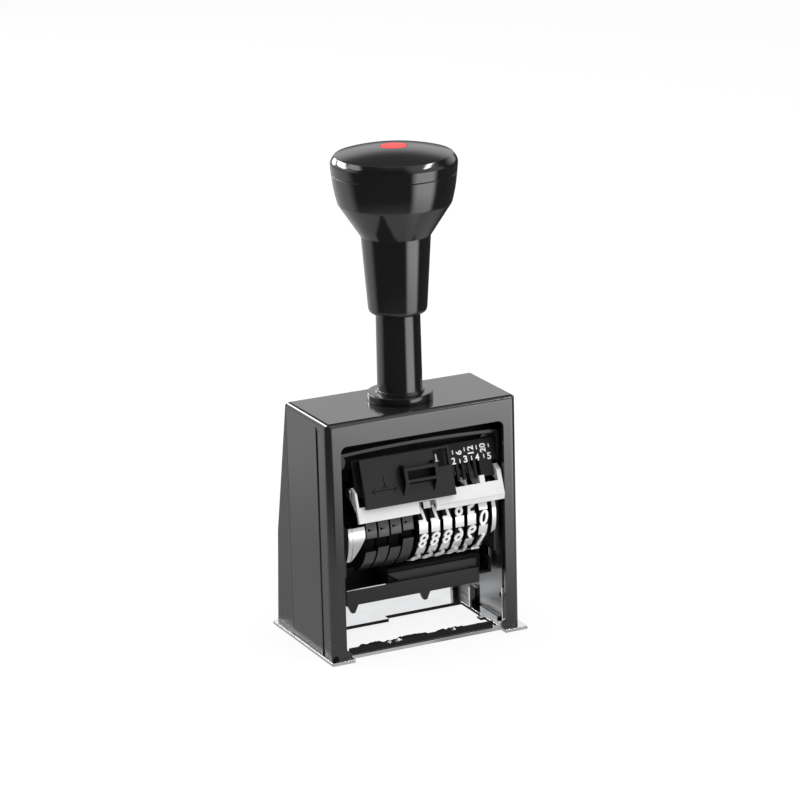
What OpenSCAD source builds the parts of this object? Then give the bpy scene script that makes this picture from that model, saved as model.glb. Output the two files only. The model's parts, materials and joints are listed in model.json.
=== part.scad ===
// Automatic numbering machine: a self-inking hand stamp with six number wheels.
// Z is up and the base plate stands on z = 0. The window faces -Y.
// Depths called "behind the front" run rearwards from the face of the casing.
// The casing follows the mechanism: its width, height and depth are worked out
// from the wheels, the plates beside them, the stroke and the ink pad.

/* [Number wheels] */
// Radius of a number wheel to the face of its raised type
wheel_r = 13; // [12:0.1:14]
// Step from one wheel to the next along the axle
wheel_pitch = 3.86; // [3.7:0.02:4.4]
// Width of the rim that carries the type
type_w = 2.8; // [2.2:0.1:2.9]
// Height of a facet that carries a digit, along the rim
digit_facet = 4.7; // [4:0.1:5.5]
// How far the type stands out of its facet
type_relief = 0.4; // [0.2:0.05:0.6]
// Width of the ratchet disc beside each rim
ratchet_w = 0.75; // [0.4:0.05:0.8]
// Outer radius of the ratchet disc
ratchet_r = 10.6; // [9:0.1:11.5]
// Width of a blank wheel
blank_w = 3.4; // [2.8:0.1:3.5]
// Depth of the notches in the blank wheels
notch_depth = 1.6; // [0.8:0.1:2.5]
// Gap between the blank wheels and the number wheels
bank_gap = 1.4; // [1.2:0.1:3]
// How far the middle of the wheel bank stands right of the handle
bank_shift = 2; // [1:0.1:3]
// Radius of the wheel axle
axle_r = 2; // [1.6:0.1:2.6]
// Radial running clearance on the axle
axle_fit = 0.05; // [0.02:0.01:0.09]

/* [Stroke] */
// Travel of the handle, from rest to the print
travel = 22.2; // [16:0.2:28]
// Clearance of the carriage over the base plate at the end of the stroke
stroke_clear = 0.5; // [0.3:0.1:2]

/* [Carriage] */
// Height of the carriage above the wheel axle
mech_h = 28.8; // [28:0.2:34]
// Thickness of the plates that carry the axle
plate_t = 1.9; // [1.4:0.1:2.6]
// Thickness of the bright plates beside the wheels
end_plate_t = 1.4; // [1:0.1:2]
// Thickness of the yoke's sheet
yoke_t = 2; // [1.4:0.1:2.4]
// Depth of the carriage plates behind the axle
plate_back = 7.8; // [7:0.1:9]
// Side play of what turns or slides next to a plate
side_gap = 0.15; // [0.1:0.05:0.3]

/* [Front panel] */
// Lean of the front panel
panel_tilt = 19; // [14:0.5:22]
// Height of the bail's lower edge above the wheel axle
bail_rise = 5.6; // [5:0.1:8]
// Depth of the bail's lower edge behind the front (negative stands proud)
bail_depth = -1.5; // [-2:0.1:-1.2]
// Thickness of the bail's sheet
bail_t = 1; // [0.6:0.1:1.2]
// Width of the repeat slider
slider_w = 28.4; // [26:0.2:30]
// Thickness of the repeat slider
slider_t = 1.3; // [1:0.1:1.8]
// Travel of the repeat slider
slider_travel = 14.8; // [8:0.2:15]
// How far the slider's grip stands out of its face
grip_out = 2.8; // [1.5:0.1:3.2]
// Width of the slider's grip
grip_w = 10.8; // [8:0.1:12]
// Thickness of the front plate
front_plate_t = 1; // [0.8:0.1:1.6]
// Play of the slider on its rail
slider_play = 0.15; // [0.1:0.05:0.25]

/* [Ink pad] */
// Gap between the type and the felt
felt_gap = 0.3; // [0.2:0.05:1]
// Depth of the pad assembly below the felt's face
pad_h = 8.3; // [7.6:0.1:9]
// Depth of the cassette, front to back
cassette_d = 14.4; // [13:0.2:15]
// Wall of the cassette
cassette_wall = 1.4; // [1:0.1:1.8]
// Thickness of the pad's steel arms and tray
arm_t = 0.8; // [0.6:0.1:1]

/* [Casing] */
// Wall of the casing
wall = 2; // [1.6:0.1:2.6]
// Thickness of the casing's front around the window
front_wall = 1.5; // [1.2:0.1:2]
// Width of the columns beside the window
column_w = 4.4; // [4:0.1:5]
// Height of the beam above the window
beam_h = 7.1; // [6:0.1:9]
// Corner radius of the window
window_r = 1.8; // [1:0.1:3]
// Radius of the casing's upright front edges
edge_r = 2; // [1:0.1:2.5]
// Radius of the casing's top edges
top_r = 1.4; // [0.8:0.1:2]
// Depth of the casing's main moulding
shell_d = 27.3; // [26.4:0.1:30]
// Distance of the side groove behind the front
groove_back = 6.5; // [5:0.1:9]
// Width of the side groove
groove_w = 0.7; // [0.4:0.1:1]
// Thickness of the bright guide cheeks
cheek_t = 0.7; // [0.5:0.1:1]
// Play between the pad arms' clips and the cheeks
cheek_gap = 0.4; // [0.3:0.1:1]
// Wall of the rear cover
cover_wall = 1.8; // [1.4:0.1:2.2]
// Space between the swung ink pad and the outside of the rear cover
cover_room = 2.8; // [2.4:0.1:5]

/* [Base plate] */
// Thickness of the base plate
base_t = 1; // [0.8:0.1:1.6]
// How far the base plate stands out at the sides
base_side = 1.3; // [0.6:0.1:2.5]
// How far the base plate stands out in front of the columns
base_front = 2.2; // [1:0.1:3.5]
// How far the base plate stands out at the rear
base_rear = 0.8; // [0.4:0.1:2]
// Height of the lip along the print opening
lip_h = 1.8; // [1:0.1:2.4]

/* [Handle] */
// Radius of the knob at its widest
knob_r = 18; // [15:0.5:20]
// Height of the knob's dome above its widest line
dome_h = 5.3; // [3.5:0.1:7]
// Height of the knob from its neck to its widest line
knob_h = 20.4; // [19:0.2:24]
// Radius of the neck, where the sleeve meets the knob
neck_r = 10.1; // [9.6:0.1:11]
// Radius of the sleeve's foot
sleeve_foot_r = 8.45; // [8:0.05:9]
// Length of the grip sleeve
sleeve_h = 22.7; // [21:0.1:28]
// Radius of the guide tube at its top
tube_r = 6.35; // [6:0.05:6.5]
// Bore of the guide tube, as a radius
tube_bore_r = 5; // [4.8:0.1:5.1]
// Play between the guide tube and the sleeve, on the radius
sleeve_play = 0.5; // [0.3:0.05:0.6]
// Radius of the collar on the casing
collar_r = 9.5; // [9:0.1:12]
// Height of the collar
collar_h = 2.35; // [1.6:0.05:4]
// Radius of the plunger rod
rod_r = 3; // [2.6:0.1:3.1]
// Running clearance of the plunger rod in its bush
rod_fit = 0.05; // [0.02:0.01:0.09]
// Radius of the red disc in the knob
disc_r = 4; // [3:0.1:5]

/* [Return spring] */
// Wire radius of the return spring
wire_r = 0.4; // [0.3:0.05:0.5]
// Number of turns of the return spring
spring_turns = 18; // [14:1:22]

/* [Hidden] */
$fn = 64;

cut = 0.05;                       // overshoot of a cut past a face
digits_per_wheel = 10;
digit_angle = 360 / digits_per_wheel;
number_wheels = 6;
blank_wheels = 4;
touch = 0.2;                      // side play between neighbouring wheels

// Along the axle, from the wheel bank outwards
bank_w = (number_wheels + blank_wheels) * wheel_pitch + bank_gap;
bank_right = bank_w / 2 + bank_shift;
bank_left = bank_right - bank_w;
number_left = bank_left + blank_wheels * wheel_pitch + bank_gap;
plate_in = bank_right + touch + end_plate_t;
plate_out = plate_in + plate_t;
arm_in = plate_out + side_gap;
arm_out = arm_in + arm_t;
clip_t = 0.4;
axle_end = arm_out + side_gap / 2 + clip_t;
cheek_in = axle_end + cheek_gap;
inner_x = cheek_in + cheek_t;
housing_w = 2 * (inner_x + wall);
half_w = housing_w / 2;

// Heights above the table
axle_z = wheel_r + travel;
plate_z = travel + base_t + stroke_clear;
yoke_top = axle_z + mech_h;
yoke_under = yoke_top - yoke_t;
shank_gap = 1.8;
nut_h = 2.6;
shank_tip = 0.35;
nut_wall = 1.7;
ceiling_z = yoke_top + shank_gap + shank_tip + nut_h;
top_z = ceiling_z + wall;
collar_top = top_z + collar_h;
ring_h = 0.7;
ring_r = tube_r + 0.7;
stroke_rest = 0.3;
sleeve_z = collar_top + ring_h + travel + stroke_rest;
neck_z = sleeve_z + sleeve_h;
rim_z = neck_z + knob_h;
knob_top = rim_z + dome_h;
sleeve_bore_r = tube_r + sleeve_play;
tube_top = sleeve_z + 2.4;
washer_t = 1;
washer_z = tube_top + travel + 0.7;
bush_h = 4;
bush_top = top_z + bush_h;

// Depths behind the front of the casing
axle_back = wheel_r + 1.2;
plate_front = axle_back - 10.9;
panel_back = axle_back - 5.2;     // where the cover and the panel meet the yoke
flange_t = 1.2;
plate_upper_front = panel_back + flange_t;
plate_rear = axle_back + plate_back;
felt_r = wheel_r + felt_gap;
pad_bottom_r = felt_r + pad_h;
cover_foot = max(axle_back + pad_bottom_r + cover_room, shell_d + 8);
cover_knee = cover_foot - 2.2;
cover_knee_z = axle_z - 5.7;
cover_tip = 0.5;
base_back = cover_foot + base_rear;

// Lines of the front panel, measured up its slope
panel_z = axle_z + bail_rise;
bail_h = 5.6;
bail_low_h = 3.5;
panel_low = 7.3;
panel_high = (axle_z + mech_h - yoke_t - 4 - panel_z) / cos(panel_tilt);
slider_low = 3.6;
slider_high = min(18.1, panel_high - 0.3);
slider_left = bank_left - 1.05;
slider_right = slider_left + slider_w;
slider_back = 0.4;                // gap between the bail's face and the slider
plate_face = bail_t + 0.3;        // from the bail's face to the front plate's face
grip_left = slider_left + 12;
grip_mid = 9.2;
grip_high = 13.4;
pivot_up = 9.2;
pivot_in = bail_t + 2.2;
pivot_r = 0.9;
ear_t = 0.8;
bail_right_arm = 1.5;
bail_left_arm = 0.8;
bail_right = plate_out - 0.2;
bail_left = bank_left - 3.3;
ear_right = bail_right - bail_right_arm - touch;
ear_left = bail_left + bail_left_arm + touch;

// The hood over the panel
hood_half = plate_out + 0.9;
hood_wall = 1.1;
hood_top = yoke_top - 3.8;
hood_low = yoke_top - 13.6;
hood_front = panel_back - 5;
hood_arch = 0.9;

// The ink pad, below the wheels at rest
felt_z = axle_z - felt_r;
pad_z = axle_z - pad_bottom_r;
cassette_front = axle_back - cassette_d / 2;
cassette_back = axle_back + cassette_d / 2;
cassette_right = bank_right - 1.6;
cassette_left = -plate_in + end_plate_t;
tray_z = pad_z + cassette_wall;
felt_left = number_left - 6.9;
felt_right = bank_right;
lobe_w = 3.2;
lobe_h = 2.4;
arm_reach = pad_bottom_r - 1.2;
arm_half = 3.6;
tray_back = cassette_d / 2 - cassette_wall - 0.05;
felt_half = tray_back - 0.55;

// The whole part stands centred on the origin
front_most = min(bail_depth + grip_mid * sin(panel_tilt) - (slider_back + slider_t + grip_out) * cos(panel_tilt),
                 axle_back - knob_r);
front_y = -(base_back + front_most) / 2;

// Fasteners
screw_r = 1.5;
screw_head_r = 2.6;
screw_slot_w = 0.7;
screw_slot_depth = 0.45;
boss_r = 1.8;
base_screw_x = inner_x - 0.1;
base_screw_front = 3.5;
base_screw_rear = shell_d - 2.6;
cover_screw_x = 12;
cover_screw_z = ceiling_z - 1.9;

// Print opening of the base plate
opening_half = half_w - 6;
opening_front = 2.6;
opening_rear = axle_back + 9.2;
opening_step = 2.6;

echo(str("size ", housing_w + 2 * base_side, " x ", base_back - front_most, " x ", knob_top));

// Moves a module drawn from the casing's front face to its place
module from_front() {
    translate([0, front_y, 0])
        children();
}

// Frame of the sloping front panel: x to the right, y inwards, z up the slope
module on_panel() {
    from_front()
        translate([0, bail_depth, panel_z])
            rotate([-panel_tilt, 0, 0])
                children();
}

// Frame of the wheel axle: x along the axle, y rearwards, z up
module on_axle() {
    from_front()
        translate([0, axle_back, axle_z])
            children();
}

// Frame of the handle: z up its axis
module on_handle() {
    from_front()
        translate([0, axle_back, 0])
            children();
}

// A box from its lowest to its highest corner
module block(low, high) {
    translate(low)
        cube(high - low);
}

// A cylinder along X
module bar_x(x0, x1, r) {
    translate([x0, 0, 0])
        rotate([0, 90, 0])
            cylinder(r = r, h = x1 - x0);
}

// A plate standing across X, cut to an outline given in y and z
module slab_x(x0, x1) {
    translate([x0, 0, 0])
        rotate([90, 0, 90])
            linear_extrude(x1 - x0)
                children();
}

// What an upright edge of radius r loses when it is rounded, at the corner +x +y
module edge_cut(r, length) {
    difference() {
        translate([-r, -r, 0])
            cube([r + 1, r + 1, length]);
        translate([-r, -r, -cut])
            cylinder(r = r, h = length + 2 * cut);
    }
}

// A rectangle with round top corners
module arch_outline(x0, x1, z0, z1, r) {
    translate([x0, z0])
        square([x1 - x0, z1 - z0 - r]);
    translate([x0 + r, z0])
        square([x1 - x0 - 2 * r, z1 - z0]);
    for (x = [x0 + r, x1 - r])
        translate([x, z1 - r])
            circle(r);
}

// Outline of the rear cover's back, moved inwards by inset
module cover_outline(inset) {
    slope = (cover_knee - shell_d - cover_tip) / (top_z - 0.8 - cover_knee_z);
    tip_z = top_z - 0.8 - (inset > 0 ? (inset + cover_tip) / slope : 0);
    polygon([[shell_d - inset, base_t - inset],
             [cover_foot - inset, base_t - inset],
             [cover_knee - inset, cover_knee_z],
             [shell_d + (inset > 0 ? 0 : cover_tip), tip_z],
             [shell_d - inset, tip_z + (inset > 0 ? 0 : 0.4)]]);
}

// ---- Casing ----

module housing_shell() {
    color("#1b1b1c") from_front() difference() {
        union() {
            difference() {
                block([-half_w, 0, base_t], [half_w, shell_d, top_z]);
                block([-inner_x, front_wall, base_t - cut], [inner_x, shell_d + cut, ceiling_z]);
            }
            for (side = [-1, 1]) {
                base_boss(side * base_screw_x, base_screw_front, 11);
                base_boss(side * base_screw_x, base_screw_rear, 4.5);
                cover_boss(side * cover_screw_x);
            }
        }
        window_cut();
        upright_edges();
        top_edges();
        side_grooves();
        translate([0, axle_back, ceiling_z - cut])
            cylinder(r = tube_shank_r(), h = wall + 2 * cut);
        for (side = [-1, 1]) {
            base_screw_hole(side * base_screw_x, base_screw_front, 8);
            base_screw_hole(side * base_screw_x, base_screw_rear, 3.6);
            translate([side * cover_screw_x, shell_d - 4, cover_screw_z])
                rotate([-90, 0, 0])
                    cylinder(r = screw_r, h = 4 + cut);
        }
    }
}

function tube_shank_r() = tube_r + 1.15;

module base_boss(x, y, h) {
    intersection() {
        translate([x, y, base_t])
            cylinder(r = boss_r, h = h);
        block([-inner_x - cut, 0, 0], [inner_x + cut, shell_d, top_z]);
    }
}

module base_screw_hole(x, y, h) {
    translate([x, y, base_t - cut])
        cylinder(r = screw_r, h = h + cut, $fn = 32);
}

module cover_boss(x) {
    block([x - 2.4, shell_d - 4.6, cover_screw_z - 1.9], [x + 2.4, shell_d, ceiling_z + cut]);
}

// The window, whose columns widen to feet at the base
module window_cut() {
    window_half = half_w - column_w;
    foot_h = 2.2;
    foot_w = 1.5;
    translate([0, front_wall + cut, 0])
        rotate([90, 0, 0])
            linear_extrude(front_wall + 2 * cut) {
                arch_outline(-window_half, window_half, base_t + foot_h, top_z - beam_h, window_r);
                polygon([[-window_half + foot_w, base_t - 1], [window_half - foot_w, base_t - 1],
                         [window_half - foot_w, base_t + foot_h / 2], [window_half, base_t + foot_h + cut],
                         [-window_half, base_t + foot_h + cut],
                         [-window_half + foot_w, base_t + foot_h / 2]]);
            }
}

module upright_edges() {
    for (side = [0, 1])
        mirror([side, 0, 0])
            translate([half_w, 0, 0])
                mirror([0, 1, 0])
                    edge_cut(edge_r, top_z + 1);
}

module top_edges() {
    translate([-half_w - 1, 0, top_z])
        rotate([0, 90, 0])
            mirror([1, 0, 0])
                mirror([0, 1, 0])
                    edge_cut(top_r, housing_w + 2);
    for (side = [0, 1])
        mirror([side, 0, 0])
            translate([half_w, shell_d + 1, top_z])
                rotate([90, 0, 0])
                    edge_cut(top_r, shell_d + 2);
}

// A groove down each side, and beside it a strip that lies a little deeper than the face
module side_grooves() {
    groove_depth = 0.5;
    strip_depth = 0.2;
    strip_front = edge_r + 0.4;
    for (side = [-1, 1]) {
        translate([side * half_w - groove_depth, groove_back, base_t - cut])
            cube([2 * groove_depth, groove_w, top_z - base_t - 2.2]);
        translate([side * half_w - strip_depth, strip_front, base_t - cut])
            cube([2 * strip_depth, groove_back - strip_front + cut, top_z - base_t - 2.9]);
    }
}

module rear_cover() {
    opening_top = cover_knee_z - 3.3;
    color("#232324") from_front() difference() {
        slab_x(-half_w, half_w)
            cover_outline(0);
        slab_x(-inner_x, inner_x)
            cover_outline(cover_wall);
        // the low opening, where the ink pad swings through
        translate([0, cover_foot + cut, 0])
            rotate([90, 0, 0])
                linear_extrude(cover_foot - shell_d - 2)
                    arch_outline(-inner_x + 1.4, inner_x - 1.4, base_t - 1, opening_top, 3);
        for (side = [0, 1])
            mirror([side, 0, 0])
                cover_screw_hole();
    }
}

// Countersunk hole through the solid top of the rear cover
module cover_screw_hole() {
    translate([cover_screw_x, shell_d - cut, cover_screw_z])
        rotate([-90, 0, 0]) {
            cylinder(r = screw_r, h = 8, $fn = 32);
            translate([0, 0, 0.6])
                cylinder(r = screw_head_r, h = 8, $fn = 32);
        }
}

module base_plate() {
    color("#d9dadb") from_front() {
        difference() {
            block([-half_w - base_side, -base_front, 0], [half_w + base_side, base_back, base_t]);
            base_opening();
            base_setback();
            for (side = [-1, 1])
                for (y = [base_screw_front, base_screw_rear])
                    translate([side * base_screw_x, y, 0])
                        countersink();
        }
        base_lip();
        base_hook();
    }
}

module base_opening() {
    step_x = number_left;
    block([-opening_half, opening_front, -cut], [opening_half, opening_rear, base_t + cut]);
    block([step_x, opening_front, -cut], [opening_half, opening_rear + opening_step, base_t + cut]);
}

// Between the columns the plate's front edge stands back
module base_setback() {
    setback_half = half_w - column_w - 1.5;
    block([-setback_half, -base_front - 1, -cut], [setback_half, 0.9, base_t + cut]);
}

module countersink() {
    translate([0, 0, -cut])
        cylinder(r = screw_r + 0.1, h = base_t + 2 * cut, $fn = 32);
    translate([0, 0, -cut])
        cylinder(r1 = screw_head_r, r2 = screw_r + 0.1, h = base_t * 0.8, $fn = 32);
}

module base_lip() {
    block([-opening_half, opening_front - 0.8, base_t - cut], [opening_half - 2, opening_front, base_t + lip_h]);
}

// Small hook at the right edge of the print opening
module base_hook() {
    block([bank_right + 0.4, axle_back - 3.8, 0.2], [opening_half + cut, axle_back - 1.4, base_t]);
}

module guide_cheek() {
    cheek_front = axle_back - 8.6;
    cheek_rear = axle_back + 6;
    color("#cfd1d3") from_front() difference() {
        union() {
            block([cheek_in, cheek_front, base_t], [inner_x, cheek_rear, ceiling_z - 6]);
            block([cheek_in - 1.1, cheek_front + 1.5, base_t], [inner_x, cheek_rear - 2, base_t + 0.7]);
        }
        for (z = [8.4, ceiling_z - 12])
            translate([0, cheek_front + 1.3, z])
                bar_x(cheek_in - 1, inner_x + 1, 0.75);
    }
}

module guide_cheek_left() {
    mirror([1, 0, 0])
        guide_cheek();
}

module guide_cheek_right() {
    guide_cheek();
}

// Neck of the casing: collar, foot ring and tapered tube, with a threaded shank below
module guide_tube() {
    foot_r = tube_r + 0.15;
    color("#161617") on_handle() rotate_extrude($fn = 96)
        polygon([[tube_bore_r, ceiling_z - nut_h - shank_tip], [tube_shank_r(), ceiling_z - nut_h - shank_tip],
                 [tube_shank_r(), top_z], [collar_r, top_z], [collar_r, collar_top - 0.4],
                 [collar_r - 0.4, collar_top], [ring_r, collar_top], [ring_r, collar_top + ring_h - 0.2],
                 [ring_r - 0.2, collar_top + ring_h], [foot_r, collar_top + ring_h],
                 [tube_r, tube_top - 0.5], [tube_r - 0.5, tube_top], [tube_bore_r, tube_top]]);
}

module tube_nut() {
    color("#8f9194") on_handle() translate([0, 0, ceiling_z - nut_h]) difference() {
        cylinder(r = tube_shank_r() + nut_wall, h = nut_h, $fn = 6);
        translate([0, 0, -cut])
            cylinder(r = tube_shank_r(), h = nut_h + 2 * cut);
    }
}

module rod_bush() {
    color("#b08d3c") on_handle() difference() {
        translate([0, 0, bush_top - bush_h])
            cylinder(r = tube_bore_r, h = bush_h);
        translate([0, 0, bush_top - bush_h - cut])
            cylinder(r = rod_r + rod_fit, h = bush_h + 2 * cut);
    }
}

// Return spring: one wire wound from the bush up to the washer in the knob
spring_mean_r = (rod_r + tube_bore_r) / 2;
spring_low = bush_top + wire_r + 0.02;
spring_high = washer_z - wire_r - 0.02;
rings_per_turn = 8;
wire_sides = 6;

function spring_angle(i) = 360 * i / rings_per_turn;
function spring_point(i) =
    let (a = spring_angle(i))
    [spring_mean_r * cos(a), spring_mean_r * sin(a),
     spring_low + (spring_high - spring_low) * i / (spring_turns * rings_per_turn)];
function spring_ring(i) =
    let (a = spring_angle(i),
         outward = [cos(a), sin(a), 0],
         rise = (spring_high - spring_low) / spring_turns / 360 * 180 / PI / spring_mean_r,
         tangent = [-sin(a), cos(a), rise] / norm([1, rise]),
         upward = cross(outward, tangent))
    [for (k = [0:wire_sides - 1])
        spring_point(i) + wire_r * (cos(360 * k / wire_sides) * outward + sin(360 * k / wire_sides) * upward)];

module return_spring() {
    last = spring_turns * rings_per_turn;
    rings = [for (i = [0:last]) spring_ring(i)];
    points = [for (ring = rings) for (p = ring) p];
    gap = min([for (i = [0:last - rings_per_turn])
                   norm(spring_point(i + rings_per_turn) - spring_point(i))]) - 2 * wire_r;
    echo(str("return spring, least gap between turns ", gap));
    sides = [for (i = [0:last - 1]) for (k = [0:wire_sides - 1])
                 let (a = i * wire_sides + k, b = i * wire_sides + (k + 1) % wire_sides)
                 each [[a, b, b + wire_sides], [a, b + wire_sides, a + wire_sides]]];
    foot = [for (k = [1:wire_sides - 2]) [0, k + 1, k]];
    head = [for (k = [1:wire_sides - 2]) [0, k, k + 1] + last * wire_sides * [1, 1, 1]];
    color("#a9acb0") on_handle()
        polyhedron(points, concat(sides, foot, head));
}

module base_screws() {
    color("#9a9da0") from_front()
        for (side = [-1, 1])
            for (place = [[base_screw_front, 7.5], [base_screw_rear, 3.2]])
                translate([side * base_screw_x, place[0], 0.05]) difference() {
                    union() {
                        cylinder(r1 = screw_head_r - 0.35, r2 = screw_r, h = base_t * 0.8 - 0.15, $fn = 32);
                        cylinder(r = screw_r, h = base_t + place[1], $fn = 32);
                    }
                    screw_slot(0);
                }
}

// Cut for the blade of a screwdriver, from height low up or down by its depth
module screw_slot(low) {
    block([-screw_head_r, -screw_slot_w / 2, low - screw_slot_depth],
          [screw_head_r, screw_slot_w / 2, low + screw_slot_depth]);
}

module cover_screws() {
    color("#9a9da0") from_front()
        for (side = [-1, 1])
            translate([side * cover_screw_x, shell_d, cover_screw_z])
                rotate([-90, 0, 0]) difference() {
                    union() {
                        translate([0, 0, -3.5])
                            cylinder(r = screw_r, h = 4.2, $fn = 32);
                        translate([0, 0, 0.6 - cut])
                            cylinder(r = screw_head_r - 0.3, h = 0.8, $fn = 32);
                    }
                    screw_slot(1.4 - cut);
                }
}

// ---- Handle ----

cap_seam = rim_z - 2.4;
shoulder_h = 2.7;

module knob_body() {
    color("#1d1d1e") on_handle() difference() {
        rotate_extrude($fn = 96)
            polygon([[0, neck_z], [neck_r, neck_z], [knob_r - 1.9, rim_z - 11.2], [knob_r - 1.5, rim_z - 10.4],
                     [knob_r - 0.9, rim_z - 7.7], [knob_r - 0.25, cap_seam - 0.25], [knob_r - 0.45, cap_seam],
                     [0, cap_seam]]);
        translate([0, 0, neck_z - cut])
            cylinder(r = sleeve_bore_r, h = washer_z + washer_t - neck_z + cut);
        cylinder(r = rod_r, h = rod_top(), $fn = 48);
        translate([0, 0, cap_seam - 2])
            cylinder(r = knob_r - 5, h = 3);
    }
}

function rod_top() = cap_seam - 4;

module knob_cap() {
    color("#29292a") on_handle() difference() {
        union() {
            rotate_extrude($fn = 96)
                difference() {
                    intersection() {
                        translate([0, rim_z - dome_radius() + dome_h])
                            circle(dome_radius(), $fn = 360);
                        square([knob_r - 1.2, knob_top]);
                    }
                    translate([-knob_r, 0])
                        square([2 * knob_r, rim_z]);
                    translate([-knob_r, 0])
                        square([knob_r, 2 * knob_top]);
                }
            rotate_extrude($fn = 96)
                polygon([[0, cap_seam], [knob_r - 0.45, cap_seam], [knob_r - 0.2, cap_seam + 0.25],
                         [knob_r, rim_z], [knob_r, rim_z + 0.9], [knob_r - 0.3, rim_z + 1.8],
                         [knob_r - 0.7, rim_z + 2.35], [knob_r - 1.2, rim_z + shoulder_h],
                         [0, rim_z + shoulder_h]]);
            translate([0, 0, cap_seam - 2])
                cylinder(r = knob_r - 5, h = 2 + cut);
        }
        translate([0, 0, knob_top - 1])
            cylinder(r = disc_r, h = 2);
    }
}

// Radius of the dome, which springs from the cap's shoulder
function dome_radius() = (pow(knob_r - 1.2, 2) + pow(dome_h - shoulder_h, 2)) / (2 * (dome_h - shoulder_h));

module cap_disc() {
    color("#ee6464") on_handle()
        translate([0, 0, knob_top - 1]) {
            cylinder(r = disc_r, h = 0.75);
            translate([0, 0, 0.75])
                cylinder(r1 = disc_r, r2 = disc_r - 0.25, h = 0.25);
        }
}

// Tapered sleeve that slides down over the guide tube
module grip_sleeve() {
    round_foot = 2;
    color("#171718") on_handle() difference() {
        union() {
            translate([0, 0, sleeve_z + round_foot])
                cylinder(r1 = sleeve_foot_r, r2 = neck_r - 0.15, h = sleeve_h - round_foot, $fn = 96);
            rotate_extrude($fn = 96) {
                translate([sleeve_foot_r - round_foot, sleeve_z + round_foot])
                    circle(round_foot);
                translate([0, sleeve_z])
                    square([sleeve_foot_r - round_foot, round_foot * 2]);
            }
        }
        translate([0, 0, sleeve_z - 1])
            cylinder(r = sleeve_bore_r, h = sleeve_h + 2);
    }
}

module plunger_rod() {
    thread_r = rod_r - 0.8;
    color("#c9cbcd") on_handle() {
        translate([0, 0, yoke_top])
            cylinder(r = rod_r, h = rod_top() - yoke_top, $fn = 48);
        translate([0, 0, yoke_under - 3.6])
            cylinder(r = thread_r, h = yoke_t + 3.6 + cut, $fn = 48);
    }
}

module spring_washer() {
    color("#b9bbbe") on_handle() translate([0, 0, washer_z]) difference() {
        cylinder(r = sleeve_bore_r - 0.1, h = washer_t);
        translate([0, 0, -cut])
            cylinder(r = rod_r, h = washer_t + 2 * cut, $fn = 48);
    }
}

module rod_nut() {
    nut_t = 2.8;
    color("#8f9194") on_handle() translate([0, 0, yoke_under - nut_t]) difference() {
        cylinder(r = rod_r + 1, h = nut_t, $fn = 6);
        translate([0, 0, -cut])
            cylinder(r = rod_r - 0.8, h = nut_t + 2 * cut, $fn = 48);
    }
}

// ---- Carriage ----

// Height of the yoke's flanges below its top plate
flange_h = 8;
yoke_screw_z = yoke_under - 4;
yoke_screw_r = 1.1;
yoke_screw_ys = [axle_back - 2, plate_rear - 3.4];
panel_bolt_z = yoke_under - 5;
panel_bolt_x = plate_in;
panel_bolt_r = 1;

module carriage_yoke() {
    color("#2a2a2c") from_front() difference() {
        union() {
            block([-plate_out, panel_back, yoke_under], [plate_out, plate_rear + flange_t, yoke_top]);
            block([-plate_out, panel_back, yoke_under - flange_h], [plate_out, plate_upper_front, yoke_under + cut]);
            block([-plate_in, plate_rear, yoke_under - flange_h], [plate_in, plate_rear + flange_t, yoke_under + cut]);
            for (side = [0, 1])
                mirror([side, 0, 0])
                    block([plate_in - flange_t, plate_upper_front + 2, yoke_under - flange_h],
                          [plate_in, plate_rear - 1, yoke_under + cut]);
        }
        translate([0, axle_back, yoke_under - cut])
            cylinder(r = rod_r - 0.8, h = yoke_t + 2 * cut, $fn = 48);
        for (y = yoke_screw_ys)
            translate([0, y, yoke_screw_z])
                bar_x(-plate_out - 1, plate_out + 1, yoke_screw_r);
        for (side = [-1, 1])
            translate([side * panel_bolt_x, panel_back - cut, panel_bolt_z])
                rotate([-90, 0, 0])
                    cylinder(r = panel_bolt_r, h = flange_t + 2 * cut, $fn = 24);
    }
}

// Outline of a carriage plate: narrow above, wide round the axle
module carriage_outline() {
    step_z = axle_z + 3.6;
    polygon([[plate_front, plate_z], [plate_rear, plate_z], [plate_rear, yoke_under],
             [plate_upper_front, yoke_under], [plate_upper_front, step_z + 6],
             [plate_front, step_z]]);
}

module carriage_plate() {
    color("#1f1f20") from_front() difference() {
        slab_x(plate_in, plate_out)
            carriage_outline();
        translate([0, axle_back, axle_z])
            bar_x(plate_in - 1, plate_out + 1, axle_r);
        for (y = yoke_screw_ys)
            translate([0, y, yoke_screw_z]) {
                bar_x(plate_in - 1, plate_out + 1, yoke_screw_r);
                translate([plate_out - 0.9, 0, 0])
                    rotate([0, 90, 0])
                        cylinder(r1 = yoke_screw_r, r2 = yoke_screw_r + 1, h = 0.95, $fn = 32);
            }
    }
}

module carriage_plate_right() {
    carriage_plate();
}

module carriage_plate_left() {
    mirror([1, 0, 0])
        carriage_plate();
}

// Bright plate beside the wheels: its front edge follows the wheels' rim
module end_plate(x0, x1, low, high) {
    color("#dcdddf") on_axle() difference() {
        slab_x(x0, x1)
            intersection() {
                union() {
                    circle(wheel_r - 0.1, $fn = 96);
                    translate([0, -wheel_r])
                        square([5.8, 2 * wheel_r]);
                }
                translate([-wheel_r, low])
                    square([wheel_r + 5.8, high - low]);
            }
        bar_x(x0 - 1, x1 + 1, axle_r);
    }
}

module end_plate_right() {
    plate_low = -5.4;
    plate_top = 10;
    end_plate(plate_in - end_plate_t, plate_in, plate_low, plate_top);
}

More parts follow.
